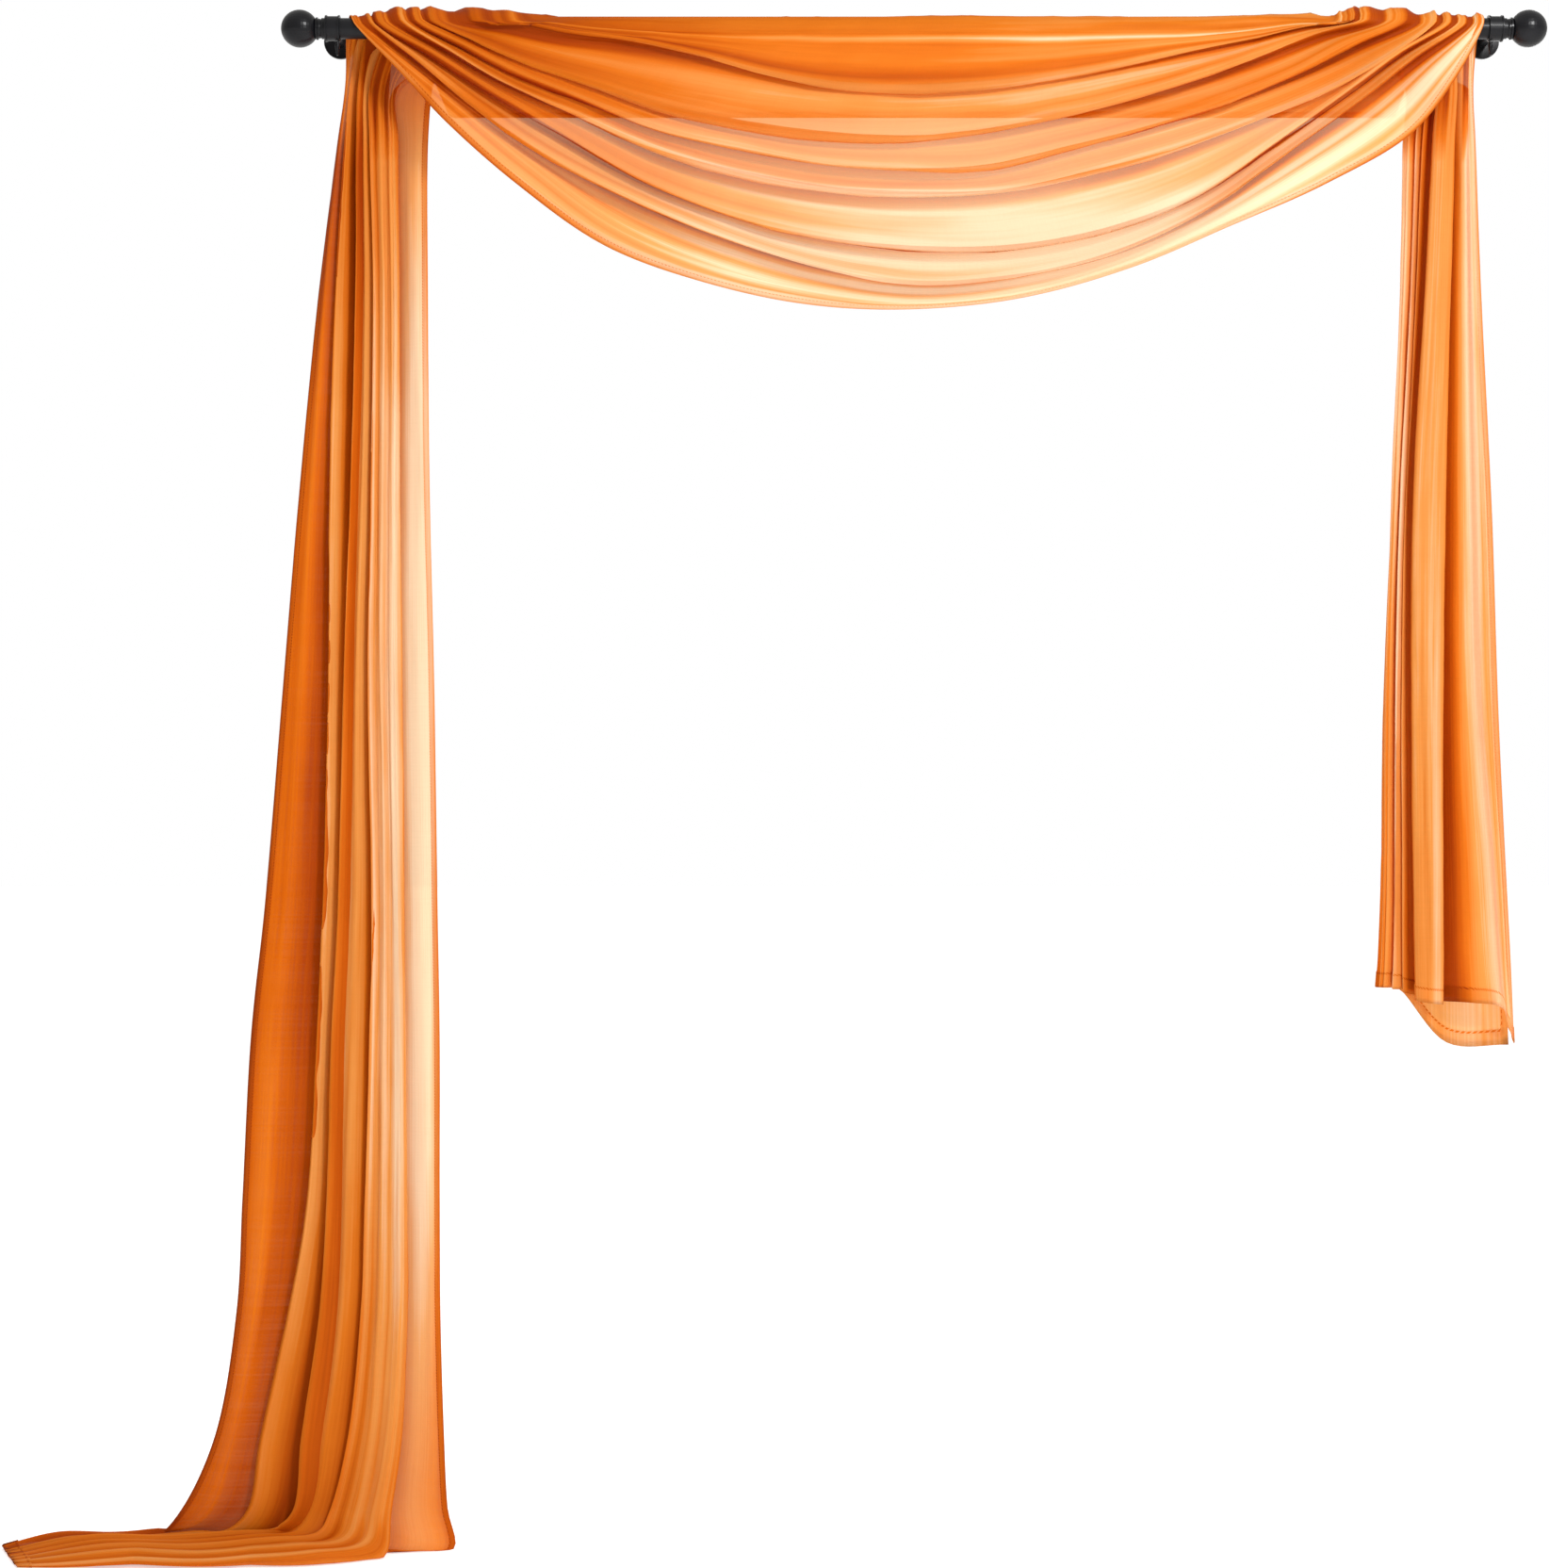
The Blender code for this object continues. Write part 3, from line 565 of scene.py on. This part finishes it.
# Painted shade in the swag, from one fold line to the next: dark under each fold edge and in the tucks, where
# shade falls, and pale between: (fold line, depth of tone)
SWAG_SHADE_TONES = (
    (0.0, 0.30), (0.25, 0.04), (0.52, 0.04), (0.66, 0.30), (0.8, 0.04),
    (1.2, 0.06), (1.36, 0.32), (1.5, 0.08), (1.7, 0.18), (1.88, 0.95), (2.0, 1.0), (2.62, 0.90),
    (2.86, 0.22), (3.22, 0.10), (3.38, 0.34), (3.54, 0.12), (3.7, 0.20), (3.88, 0.95), (4.0, 1.0),
    (4.62, 0.85), (4.86, 0.20), (5.3, 0.14), (5.46, 0.44), (5.62, 0.14), (5.72, 0.24), (5.88, 0.90),
    (6.0, 1.0), (6.62, 0.80), (6.86, 0.20), (7.28, 0.16), (7.44, 0.50), (7.6, 0.20), (7.72, 0.30),
    (7.88, 0.90), (8.0, 1.0), (8.62, 0.80), (8.86, 0.28), (9.25, 0.26), (9.42, 0.50), (9.58, 0.20),
    (9.74, 0.32), (9.88, 0.90), (10.0, 1.0), (10.62, 0.75), (10.86, 0.28), (11.2, 0.28), (11.4, 0.46),
    (11.56, 0.24), (11.7, 0.34), (11.88, 0.90), (12.0, 0.95), (12.8, 0.75), (12.95, 0.34),
    (13.18, 0.26), (13.3, 0.34), (13.44, 0.85), (13.6, 0.36), (13.88, 0.42), (14.0, 0.0),
    (14.15, 0.55), (14.85, 0.50), (15.0, 0.35), (16.0, 0.30), (17.0, 0.20), (17.8, 0.25), (18.0, 0.35),
)

# The same painted shade and light for the two tails, with a painted pale band down each tail's right side
LEFT_SHADE_TONES = (
    (0.0, 0.85), (0.3, 0.62), (0.8, 0.58), (0.98, 0.70), (1.08, 0.85), (1.25, 1.0), (2.0, 1.0), (2.8, 0.9),
    (3.0, 0.60), (3.15, 0.42), (3.3, 0.50), (3.42, 0.95), (4.0, 1.0), (4.8, 0.9),
    (5.0, 0.55), (5.4, 0.36), (6.0, 0.58), (6.5, 0.34), (7.0, 0.36), (7.25, 0.50), (7.42, 0.9), (8.0, 1.0),
    (8.8, 0.8), (9.0, 0.50), (9.5, 0.20), (10.0, 0.34), (11.0, 0.18), (12.0, 0.28), (13.0, 0.14),
    (14.0, 0.16), (15.0, 0.40), (15.3, 0.8), (16.0, 0.9), (16.4, 0.34), (16.8, 0.04), (17.6, 0.0),
    (17.9, 0.06), (18.0, 0.60),
)
RIGHT_SHADE_TONES = (
    (0.0, 0.30), (0.3, 0.10), (0.8, 0.20), (1.3, 0.20), (1.6, 0.04), (1.95, 0.0), (2.15, 0.0), (2.4, 0.18),
    (3.0, 0.36), (3.3, 0.9), (4.0, 1.0), (4.8, 0.8), (5.0, 0.46), (5.2, 0.26), (6.0, 0.28), (6.9, 0.32),
    (7.0, 0.45), (7.3, 0.65), (8.0, 0.8), (8.7, 0.50), (9.0, 0.24), (9.4, 0.20), (10.0, 0.45), (10.7, 0.26),
    (11.0, 0.12), (11.4, 0.20), (12.0, 0.45), (12.7, 0.24), (13.0, 0.12), (14.0, 0.12), (15.0, 0.16),
    (16.0, 0.34), (17.0, 0.20), (18.0, 0.30),
)


def tones_at(table, line):
    """Darkness at places across the cloth."""
    places, darkness = zip(*table)
    return np.interp(line, places, darkness)


def fold_shade_tones(points):
    """Over the grid: tone with painted shade and light, openness with painted light from behind, and nearness
    to a hem.
    """
    line = fold_lines(points.shape[1])
    x, y, z = np.moveaxis(points, 2, 0)
    hangs = 1.0 - ramp(z, 1.89, 1.99)
    left = hangs * (1.0 - ramp(x, -0.66, -0.63))
    right = hangs * ramp(x, 0.63, 0.66) * (y > 0.0)
    in_swag = (z > 1.66) & (np.abs(x) < 0.62) & (line < 13.5)
    # A painted patch of light from behind, in the low middle of the swag
    bright = in_swag * glow(x, 0.16, 0.28) * glow(z, 1.775, 0.060)
    deep = dye_and_shade_depths(points, line, left, right, bright)
    open_and_backlit = open_and_backlit_places(points, line, left, right, bright, in_swag)
    return np.clip(np.stack([deep, open_and_backlit, seam_places(points), np.ones_like(deep)], axis=2), 0.0, 1.0)


def dye_and_shade_depths(points, line, left, right, bright):
    """How dark the cloth looks: dye with painted shade and light by fold line and by place, then tone by
    chance.
    """
    rows, columns = points.shape[:2]
    x, z = points[:, :, 0], points[:, :, 2]
    place = np.clip(line + 0.08 * smooth_noise(31, rows, columns, 9, 18), 0.0, LAST_LINE)
    # Painted shade darkens the swag's left end, where little light falls; it is also darker towards its right
    # end
    swag = tones_at(SWAG_SHADE_TONES, place) + 0.32 * (1.0 - ramp(x, -0.60, -0.25)) + 0.12 * ramp(x, 0.35, 0.65)
    low = 1.0 - ramp(z, 0.10, 0.55)
    deep = swag * (1.0 - left - right) + tones_at(RIGHT_SHADE_TONES, place) * right
    # Low on the left tail the fold tones are weaker and the whole is darker towards the floor
    deep += (tones_at(LEFT_SHADE_TONES, place) * (1.0 - 0.25 * low) + 0.28 * low) * left
    # The left tail is darker at its outer edge and lighter over its middle folds
    deep += left * (0.14 * glow(line, 0.5, 0.6) - 0.10 * (np.abs(line - 9.0) < 6.0))
    # The left tail is darker towards its top, and low down on its back layers
    deep += left * 0.25 * (ramp(z, 1.55, 1.90) + low * ramp(line, 15.0, 16.0))
    # Painted highlight: a pale band down the right tail near its outer edge
    deep -= right * 0.35 * glow(line, 1.95, 0.22)
    # Painted shade in the hollows between the ridges of the pile on the floor, and painted light on their
    # tops
    floor_fold_shade = (1.0 - ramp(z, 0.025, 0.055)) * (0.6 + np.cos(math.pi * line))
    deep += left * 0.15 * floor_fold_shade * (line < 15.0)
    deep += 0.14 * smooth_noise(33, rows, columns, 12, 22) + 0.14 * smooth_noise(35, rows, columns, 12, 70)
    # Painted crease shade: thin dark lines that wander over the cloth
    creases = glow(smooth_noise(41, rows, columns, 7, 64), 0.0, 0.05)
    deep += 0.16 * creases * (1.0 - 0.6 * left - 0.5 * right)
    # The painted patch of light from behind in the low middle of the swag
    deep -= 0.35 * bright * (deep < 0.6)
    # Painted light from behind: a pale band down the left tail's right side
    return deep - 0.22 * left * glow(line, 17.1, 0.7) * glow(z, 1.05, 0.60)


def open_and_backlit_places(points, line, left, right, bright, in_swag):
    """How open the weave is, with painted light from behind: most in the low middle of the swag and down the
    tails' right sides.
    """
    rows, columns = points.shape[:2]
    x, z = points[:, :, 0], points[:, :, 2]
    # The weave's own openness, which varies by chance, less on the left tail
    open_and_backlit = 0.10 + 0.07 * smooth_noise(37, rows, columns, 12, 40) - 0.10 * left * (line < 14.0)
    # Painted light from behind: the middle of the swag is more open, most of all in its bright patch
    open_and_backlit += in_swag * (0.08 + 0.40 * glow(x, 0.05, 0.42) * glow(z, 1.90, 0.09)) + 0.80 * bright
    # More open high in the swag's middle, under the rod, so that the flap behind shows through
    open_and_backlit += 0.60 * (line < 7.0) * (z < 2.052) * glow(z, 1.965, 0.050) * glow(x, 0.1, 0.60)
    # Painted light from behind: a pale band down the left tail's right side
    open_and_backlit += left * 0.95 * glow(line, 17.3, 0.8) * glow(z, 1.05, 0.50)
    # Painted highlight: a pale band down the right tail near its outer edge, paler still at that edge
    open_and_backlit += right * (glow(line, 1.9, 0.32) + 0.85 * glow(line, 0.4, 0.5))
    return open_and_backlit * (1.0 - ramp(z, 2.030, 2.050))


def seam_places(points):
    """Over the grid: 0 on an edge of the cloth, and 0.5 where the turned-back hem behind it ends."""
    across = np.linalg.norm(np.diff(points, axis=1), axis=2)
    across = np.concatenate([np.zeros((len(points), 1)), np.cumsum(across, axis=1)], axis=1)
    along = np.linalg.norm(np.diff(points, axis=0), axis=2)
    along = np.concatenate([np.zeros((1, points.shape[1])), np.cumsum(along, axis=0)])
    to_side = np.minimum(across, across[:, -1:] - across)
    to_end = np.minimum(along, along[-1:] - along)
    return 0.5 * np.minimum(to_side / SIDE_HEM, to_end / END_HEM)


def with_edge_rows(tones, count):
    """The tones with each edge repeated over the rows and columns of its hem."""
    return np.pad(tones, ((count, count), (count, count), (0, 0)), mode="edge")


# ---------------------------------------------------------------- cloth mesh


def flat_places(points):
    """Each point's place on the flat cloth: metres along it and across it."""
    along = np.linalg.norm(np.diff(points, axis=0), axis=2).mean(axis=1)
    across = np.linalg.norm(np.diff(points, axis=1), axis=2).mean(axis=0)
    u = np.concatenate([[0.0], np.cumsum(along)])
    v = np.concatenate([[0.0], np.cumsum(across)])
    return u, v


def grid_object(points, name, u, v, tones):
    """An open sheet through a grid of points, with its flat places as a UV map and its tones."""
    rows, columns = points.shape[:2]
    mesh = bpy.data.meshes.new(name)
    index = np.arange(rows * columns).reshape(rows, columns)
    quads = np.stack([index[:-1, :-1], index[1:, :-1], index[1:, 1:], index[:-1, 1:]], axis=2).reshape(-1, 4)
    mesh.from_pydata(points.reshape(-1, 3).tolist(), [], quads.tolist())
    layer = mesh.uv_layers.new(name="flat")
    pairs = np.stack(np.meshgrid(u, v, indexing="ij"), axis=2).reshape(-1, 2)
    loops = np.empty(len(mesh.loops), dtype=np.int32)
    mesh.loops.foreach_get("vertex_index", loops)
    layer.data.foreach_set("uv", pairs[loops].ravel())
    shade = mesh.color_attributes.new("fold_shade_tones", "FLOAT_COLOR", "POINT")
    shade.data.foreach_set("color", tones.reshape(-1))
    mesh.shade_smooth()
    thing = bpy.data.objects.new(name, mesh)
    bpy.context.scene.collection.objects.link(thing)
    return thing


# ---------------------------------------------------------------- materials


def new_tree(name):
    """An empty node material and its tree."""
    material = bpy.data.materials.new(name)
    material.use_nodes = True
    material.node_tree.nodes.clear()
    return material, material.node_tree


def node(tree, kind, **values):
    """A shader node with some of its settings and sockets set."""
    made = tree.nodes.new(kind)
    for key, value in values.items():
        if key in made.inputs:
            made.inputs[key].default_value = value
        else:
            setattr(made, key, value)
    return made


def stretched_noise(tree, along, across, detail):
    """Noise laid out along and across the flat cloth, in cells per metre."""
    flat = node(tree, "ShaderNodeUVMap", uv_map="flat")
    spread = node(tree, "ShaderNodeMapping")
    spread.inputs["Scale"].default_value = (along, across, 1.0)
    noise = node(tree, "ShaderNodeTexNoise", Scale=1.0, Detail=detail)
    tree.links.new(flat.outputs["UV"], spread.inputs["Vector"])
    tree.links.new(spread.outputs["Vector"], noise.inputs["Vector"])
    return noise.outputs["Fac"]


def maths(tree, operation, one, two=None, three=None):
    """One sum on sockets or numbers."""
    made = node(tree, "ShaderNodeMath", operation=operation)
    for i, value in enumerate((one, two, three)):
        if value is None:
            continue
        if isinstance(value, (int, float)):
            made.inputs[i].default_value = value
        else:
            tree.links.new(value, made.inputs[i])
    return made.outputs[0]


def varied(tree, base, noise, amount):
    """A value raised and lowered by noise, by up to half the amount each way."""
    return maths(tree, "MULTIPLY_ADD", noise, amount, maths(tree, "ADD", base, -0.5 * amount))


def stitches(tree, seam):
    """1 on the stitches that hold the hem, 0 elsewhere."""
    flat = node(tree, "ShaderNodeUVMap", uv_map="flat")
    split = node(tree, "ShaderNodeSeparateXYZ")
    tree.links.new(flat.outputs["UV"], split.inputs[0])
    run = maths(tree, "ADD", split.outputs["X"], split.outputs["Y"])
    wave = maths(tree, "SINE", maths(tree, "MULTIPLY", run, 2.0 * math.pi / STITCH_LENGTH))
    dash = maths(tree, "GREATER_THAN", wave, -0.3)
    off_line = maths(tree, "ABSOLUTE", maths(tree, "SUBTRACT", seam, 0.44))
    on_line = maths(tree, "LESS_THAN", off_line, 0.035)
    return maths(tree, "MULTIPLY", dash, on_line)


def voile_material():
    """Sheer orange voile: coloured light comes through the gaps, the threads glow and reflect."""
    material, tree = new_tree("sheer_voile")
    link = tree.links.new
    output = node(tree, "ShaderNodeOutputMaterial")
    # The tones hold the dye's tone with painted shade and light across the folds, and painted light from
    # behind
    tones = node(tree, "ShaderNodeVertexColor", layer_name="fold_shade_tones")
    split = node(tree, "ShaderNodeSeparateColor")
    link(tones.outputs["Color"], split.inputs[0])
    tone, open_and_backlit = split.outputs[0], split.outputs[1]
    warps = stretched_noise(tree, 5.0, 420.0, 3.0)
    wefts = stretched_noise(tree, 380.0, 8.0, 2.0)
    clouds = stretched_noise(tree, 7.0, 26.0, 4.0)
    weave = maths(tree, "ADD", warps, wefts)

    deep = varied(tree, varied(tree, tone, clouds, 0.14), warps, 0.24)
    deep = maths(tree, "MULTIPLY_ADD", stitches(tree, split.outputs[2]), 0.35, deep)
    # The dye's orange, lightened and darkened by the painted shade and light in the tone
    dye = node(tree, "ShaderNodeValToRGB")
    stops = ((0.0, (0.97, 0.72, 0.46)), (0.25, (0.86, 0.34, 0.075)), (0.5, (0.76, 0.190, 0.010)),
             (0.75, (0.60, 0.110, 0.001)), (1.0, (0.38, 0.048, 0.0001)))
    dye.color_ramp.elements[0].position = 0.0
    dye.color_ramp.elements[1].position = 1.0
    for place, colour in stops[1:4]:
        dye.color_ramp.elements.new(place)
    for element, (place, colour) in zip(dye.color_ramp.elements, stops):
        element.color = colour + (1.0,)
    link(deep, dye.inputs["Fac"])

    # The gaps let the white behind through; the painted light from behind opens them wider
    gaps = maths(tree, "MULTIPLY_ADD", weave, 0.06, maths(tree, "MULTIPLY_ADD", open_and_backlit, 0.58, -0.06))
    cover = maths(tree, "SUBTRACT", 1.0, gaps)
    cover = maths(tree, "MINIMUM", cover, 1.0)
    clear = node(tree, "ShaderNodeBsdfTransparent", Color=(1.0, 0.77, 0.50, 1.0))
    front = node(tree, "ShaderNodeBsdfPrincipled", Roughness=0.55)
    link(dye.outputs["Color"], front.inputs["Base Color"])
    front.inputs["Specular IOR Level"].default_value = 0.08
    front.inputs["Sheen Weight"].default_value = 0.06
    front.inputs["Sheen Roughness"].default_value = 0.35
    front.inputs["Sheen Tint"].default_value = (1.0, 0.72, 0.5, 1.0)
    bump = node(tree, "ShaderNodeBump", Strength=0.35, Distance=0.0006)
    link(weave, bump.inputs["Height"])
    link(bump.outputs["Normal"], front.inputs["Normal"])
    through = node(tree, "ShaderNodeBsdfTranslucent")
    link(dye.outputs["Color"], through.inputs["Color"])
    threads = node(tree, "ShaderNodeMixShader")
    threads.inputs[0].default_value = 0.30
    link(front.outputs[0], threads.inputs[1])
    link(through.outputs[0], threads.inputs[2])
    mix = node(tree, "ShaderNodeMixShader")
    link(cover, mix.inputs[0])
    link(clear.outputs[0], mix.inputs[1])
    link(threads.outputs[0], mix.inputs[2])
    link(mix.outputs[0], output.inputs["Surface"])
    return material


def metal_material(name, gloss):
    """Black painted steel with a faint orange peel and worn sheen."""
    material, tree = new_tree(name)
    link = tree.links.new
    output = node(tree, "ShaderNodeOutputMaterial")
    shader = node(tree, "ShaderNodeBsdfPrincipled", Metallic=0.0)
    shader.inputs["Specular IOR Level"].default_value = 0.22
    place = node(tree, "ShaderNodeTexCoord")
    peel = node(tree, "ShaderNodeTexNoise", Scale=420.0, Detail=2.0)
    link(place.outputs["Object"], peel.inputs["Vector"])
    patches = node(tree, "ShaderNodeTexNoise", Scale=26.0, Detail=4.0)
    link(place.outputs["Object"], patches.inputs["Vector"])
    tint = node(tree, "ShaderNodeValToRGB")
    tint.color_ramp.elements[0].position = 0.35
    tint.color_ramp.elements[0].color = (0.003, 0.003, 0.004, 1.0)
    tint.color_ramp.elements[1].position = 0.7
    tint.color_ramp.elements[1].color = (0.008, 0.008, 0.010, 1.0)
    link(patches.outputs["Fac"], tint.inputs["Fac"])
    link(tint.outputs["Color"], shader.inputs["Base Color"])
    rough = node(tree, "ShaderNodeMapRange")
    rough.inputs["To Min"].default_value = gloss
    rough.inputs["To Max"].default_value = gloss + 0.16
    link(patches.outputs["Fac"], rough.inputs["Value"])
    link(rough.outputs["Result"], shader.inputs["Roughness"])
    bump = node(tree, "ShaderNodeBump", Strength=0.08, Distance=0.0005)
    link(peel.outputs["Fac"], bump.inputs["Height"])
    link(bump.outputs["Normal"], shader.inputs["Normal"])
    link(shader.outputs[0], output.inputs["Surface"])
    return material


# ---------------------------------------------------------------- stage


def add_stage():
    """Pale floor, soft lights and the camera in front of the rod's middle height."""
    scene = bpy.context.scene
    world = bpy.data.worlds.new("studio")
    scene.world = world
    world.use_nodes = True
    light_the_world(world.node_tree)
    scene.view_settings.view_transform = "Standard"
    scene.cycles.transparent_max_bounces = 48
    floor_mesh = bpy.data.meshes.new("floor")
    bm = bmesh.new()
    bmesh.ops.create_grid(bm, x_segments=1, y_segments=1, size=30.0)
    bm.to_mesh(floor_mesh)
    bm.free()
    floor = bpy.data.objects.new("floor", floor_mesh)
    floor.location.z = -0.0005
    scene.collection.objects.link(floor)
    pale, tree = new_tree("pale_floor")
    shader = node(tree, "ShaderNodeBsdfDiffuse", Color=(0.80, 0.80, 0.80, 1.0))
    lift = node(tree, "ShaderNodeEmission", Color=(1.0, 1.0, 1.0, 1.0), Strength=0.52)
    both = node(tree, "ShaderNodeAddShader")
    tree.links.new(shader.outputs[0], both.inputs[0])
    tree.links.new(lift.outputs[0], both.inputs[1])
    output = node(tree, "ShaderNodeOutputMaterial")
    tree.links.new(both.outputs[0], output.inputs["Surface"])
    floor_mesh.materials.append(pale)
    add_light("key", (1.8, -3.2, 3.4), (0.0, 0.0, 1.3), 0.8, 125.0)
    add_light("back", (1.2, 2.4, 2.4), (0.0, 0.0, 1.2), 1.6, 30.0)
    add_camera()


def light_the_world(tree):
    """A pale sky that is brighter above; what shows behind the object is plain white."""
    link = tree.links.new
    tree.nodes.clear()
    output = node(tree, "ShaderNodeOutputWorld")
    place = node(tree, "ShaderNodeTexCoord")
    split = node(tree, "ShaderNodeSeparateXYZ")
    link(place.outputs["Generated"], split.inputs[0])
    ramp = node(tree, "ShaderNodeMapRange")
    ramp.inputs["From Min"].default_value = -0.6
    ramp.inputs["From Max"].default_value = 1.0
    ramp.inputs["To Min"].default_value = 0.35
    ramp.inputs["To Max"].default_value = 0.85
    link(split.outputs["Z"], ramp.inputs["Value"])
    sky = node(tree, "ShaderNodeBackground", Color=(1.0, 0.98, 0.95, 1.0))
    link(ramp.outputs["Result"], sky.inputs["Strength"])
    white = node(tree, "ShaderNodeBackground", Color=(1.0, 1.0, 1.0, 1.0), Strength=1.0)
    path = node(tree, "ShaderNodeLightPath")
    mix = node(tree, "ShaderNodeMixShader")
    link(path.outputs["Is Camera Ray"], mix.inputs[0])
    link(sky.outputs[0], mix.inputs[1])
    link(white.outputs[0], mix.inputs[2])
    link(mix.outputs[0], output.inputs["Surface"])


def add_light(name, place, target, size, power):
    """A soft square lamp turned to a target."""
    lamp = bpy.data.lights.new(name, "AREA")
    lamp.size = size
    lamp.energy = power
    thing = bpy.data.objects.new(name, lamp)
    thing.location = place
    thing.rotation_euler = (Vector(target) - Vector(place)).to_track_quat("-Z", "Y").to_euler()
    bpy.context.scene.collection.objects.link(thing)


def add_camera():
    """A level camera that takes in the whole object, edge to edge."""
    data = bpy.data.cameras.new("camera")
    data.sensor_fit = "HORIZONTAL"
    data.sensor_width = 36.0
    data.lens = 36.0 * CAMERA_DISTANCE / VIEW_WIDTH
    thing = bpy.data.objects.new("camera", data)
    thing.location = (0.0, -CAMERA_DISTANCE, CAMERA_HEIGHT)
    thing.rotation_euler = (math.radians(90.0), 0.0, 0.0)
    bpy.context.scene.collection.objects.link(thing)
    bpy.context.scene.camera = thing


# ---------------------------------------------------------------- the object


def rod_shift():
    """From the drape's own units to the frame of the CAD."""
    low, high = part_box("rod")
    middle = 0.5 * (np.array(low) + np.array(high))
    return middle - np.array([0.0, 0.0, ROD_HEIGHT])


def add_scarf(shift):
    """The scarf as one sheet."""
    points = creased(cloth_points(ROWS_STEP, COLUMNS))
    points[:, :, 2] = np.maximum(points[:, :, 2] + shift[2], FLOOR_GAP)
    tones = fold_shade_tones(points)
    points[:, :, :2] += shift[:2]
    tones = with_edge_rows(tones, len(HEM_ROWS))
    points = with_hems(points)
    u, v = flat_places(points)
    scarf = grid_object(points, "scarf_voile", u, v, tones)
    scarf.data.materials.append(voile_material())
    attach(scarf, "root")
    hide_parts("scarf")
    return scarf


def dress_metal():
    """Painted steel on the rod and its fittings."""
    for name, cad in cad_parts.items():
        if name == "scarf":
            continue
        cad.data.materials.clear()
        cad.data.materials.append(metal_material("paint_" + name, 0.22 if "finial" in name else 0.3))


add_stage()
add_scarf(rod_shift())
dress_metal()
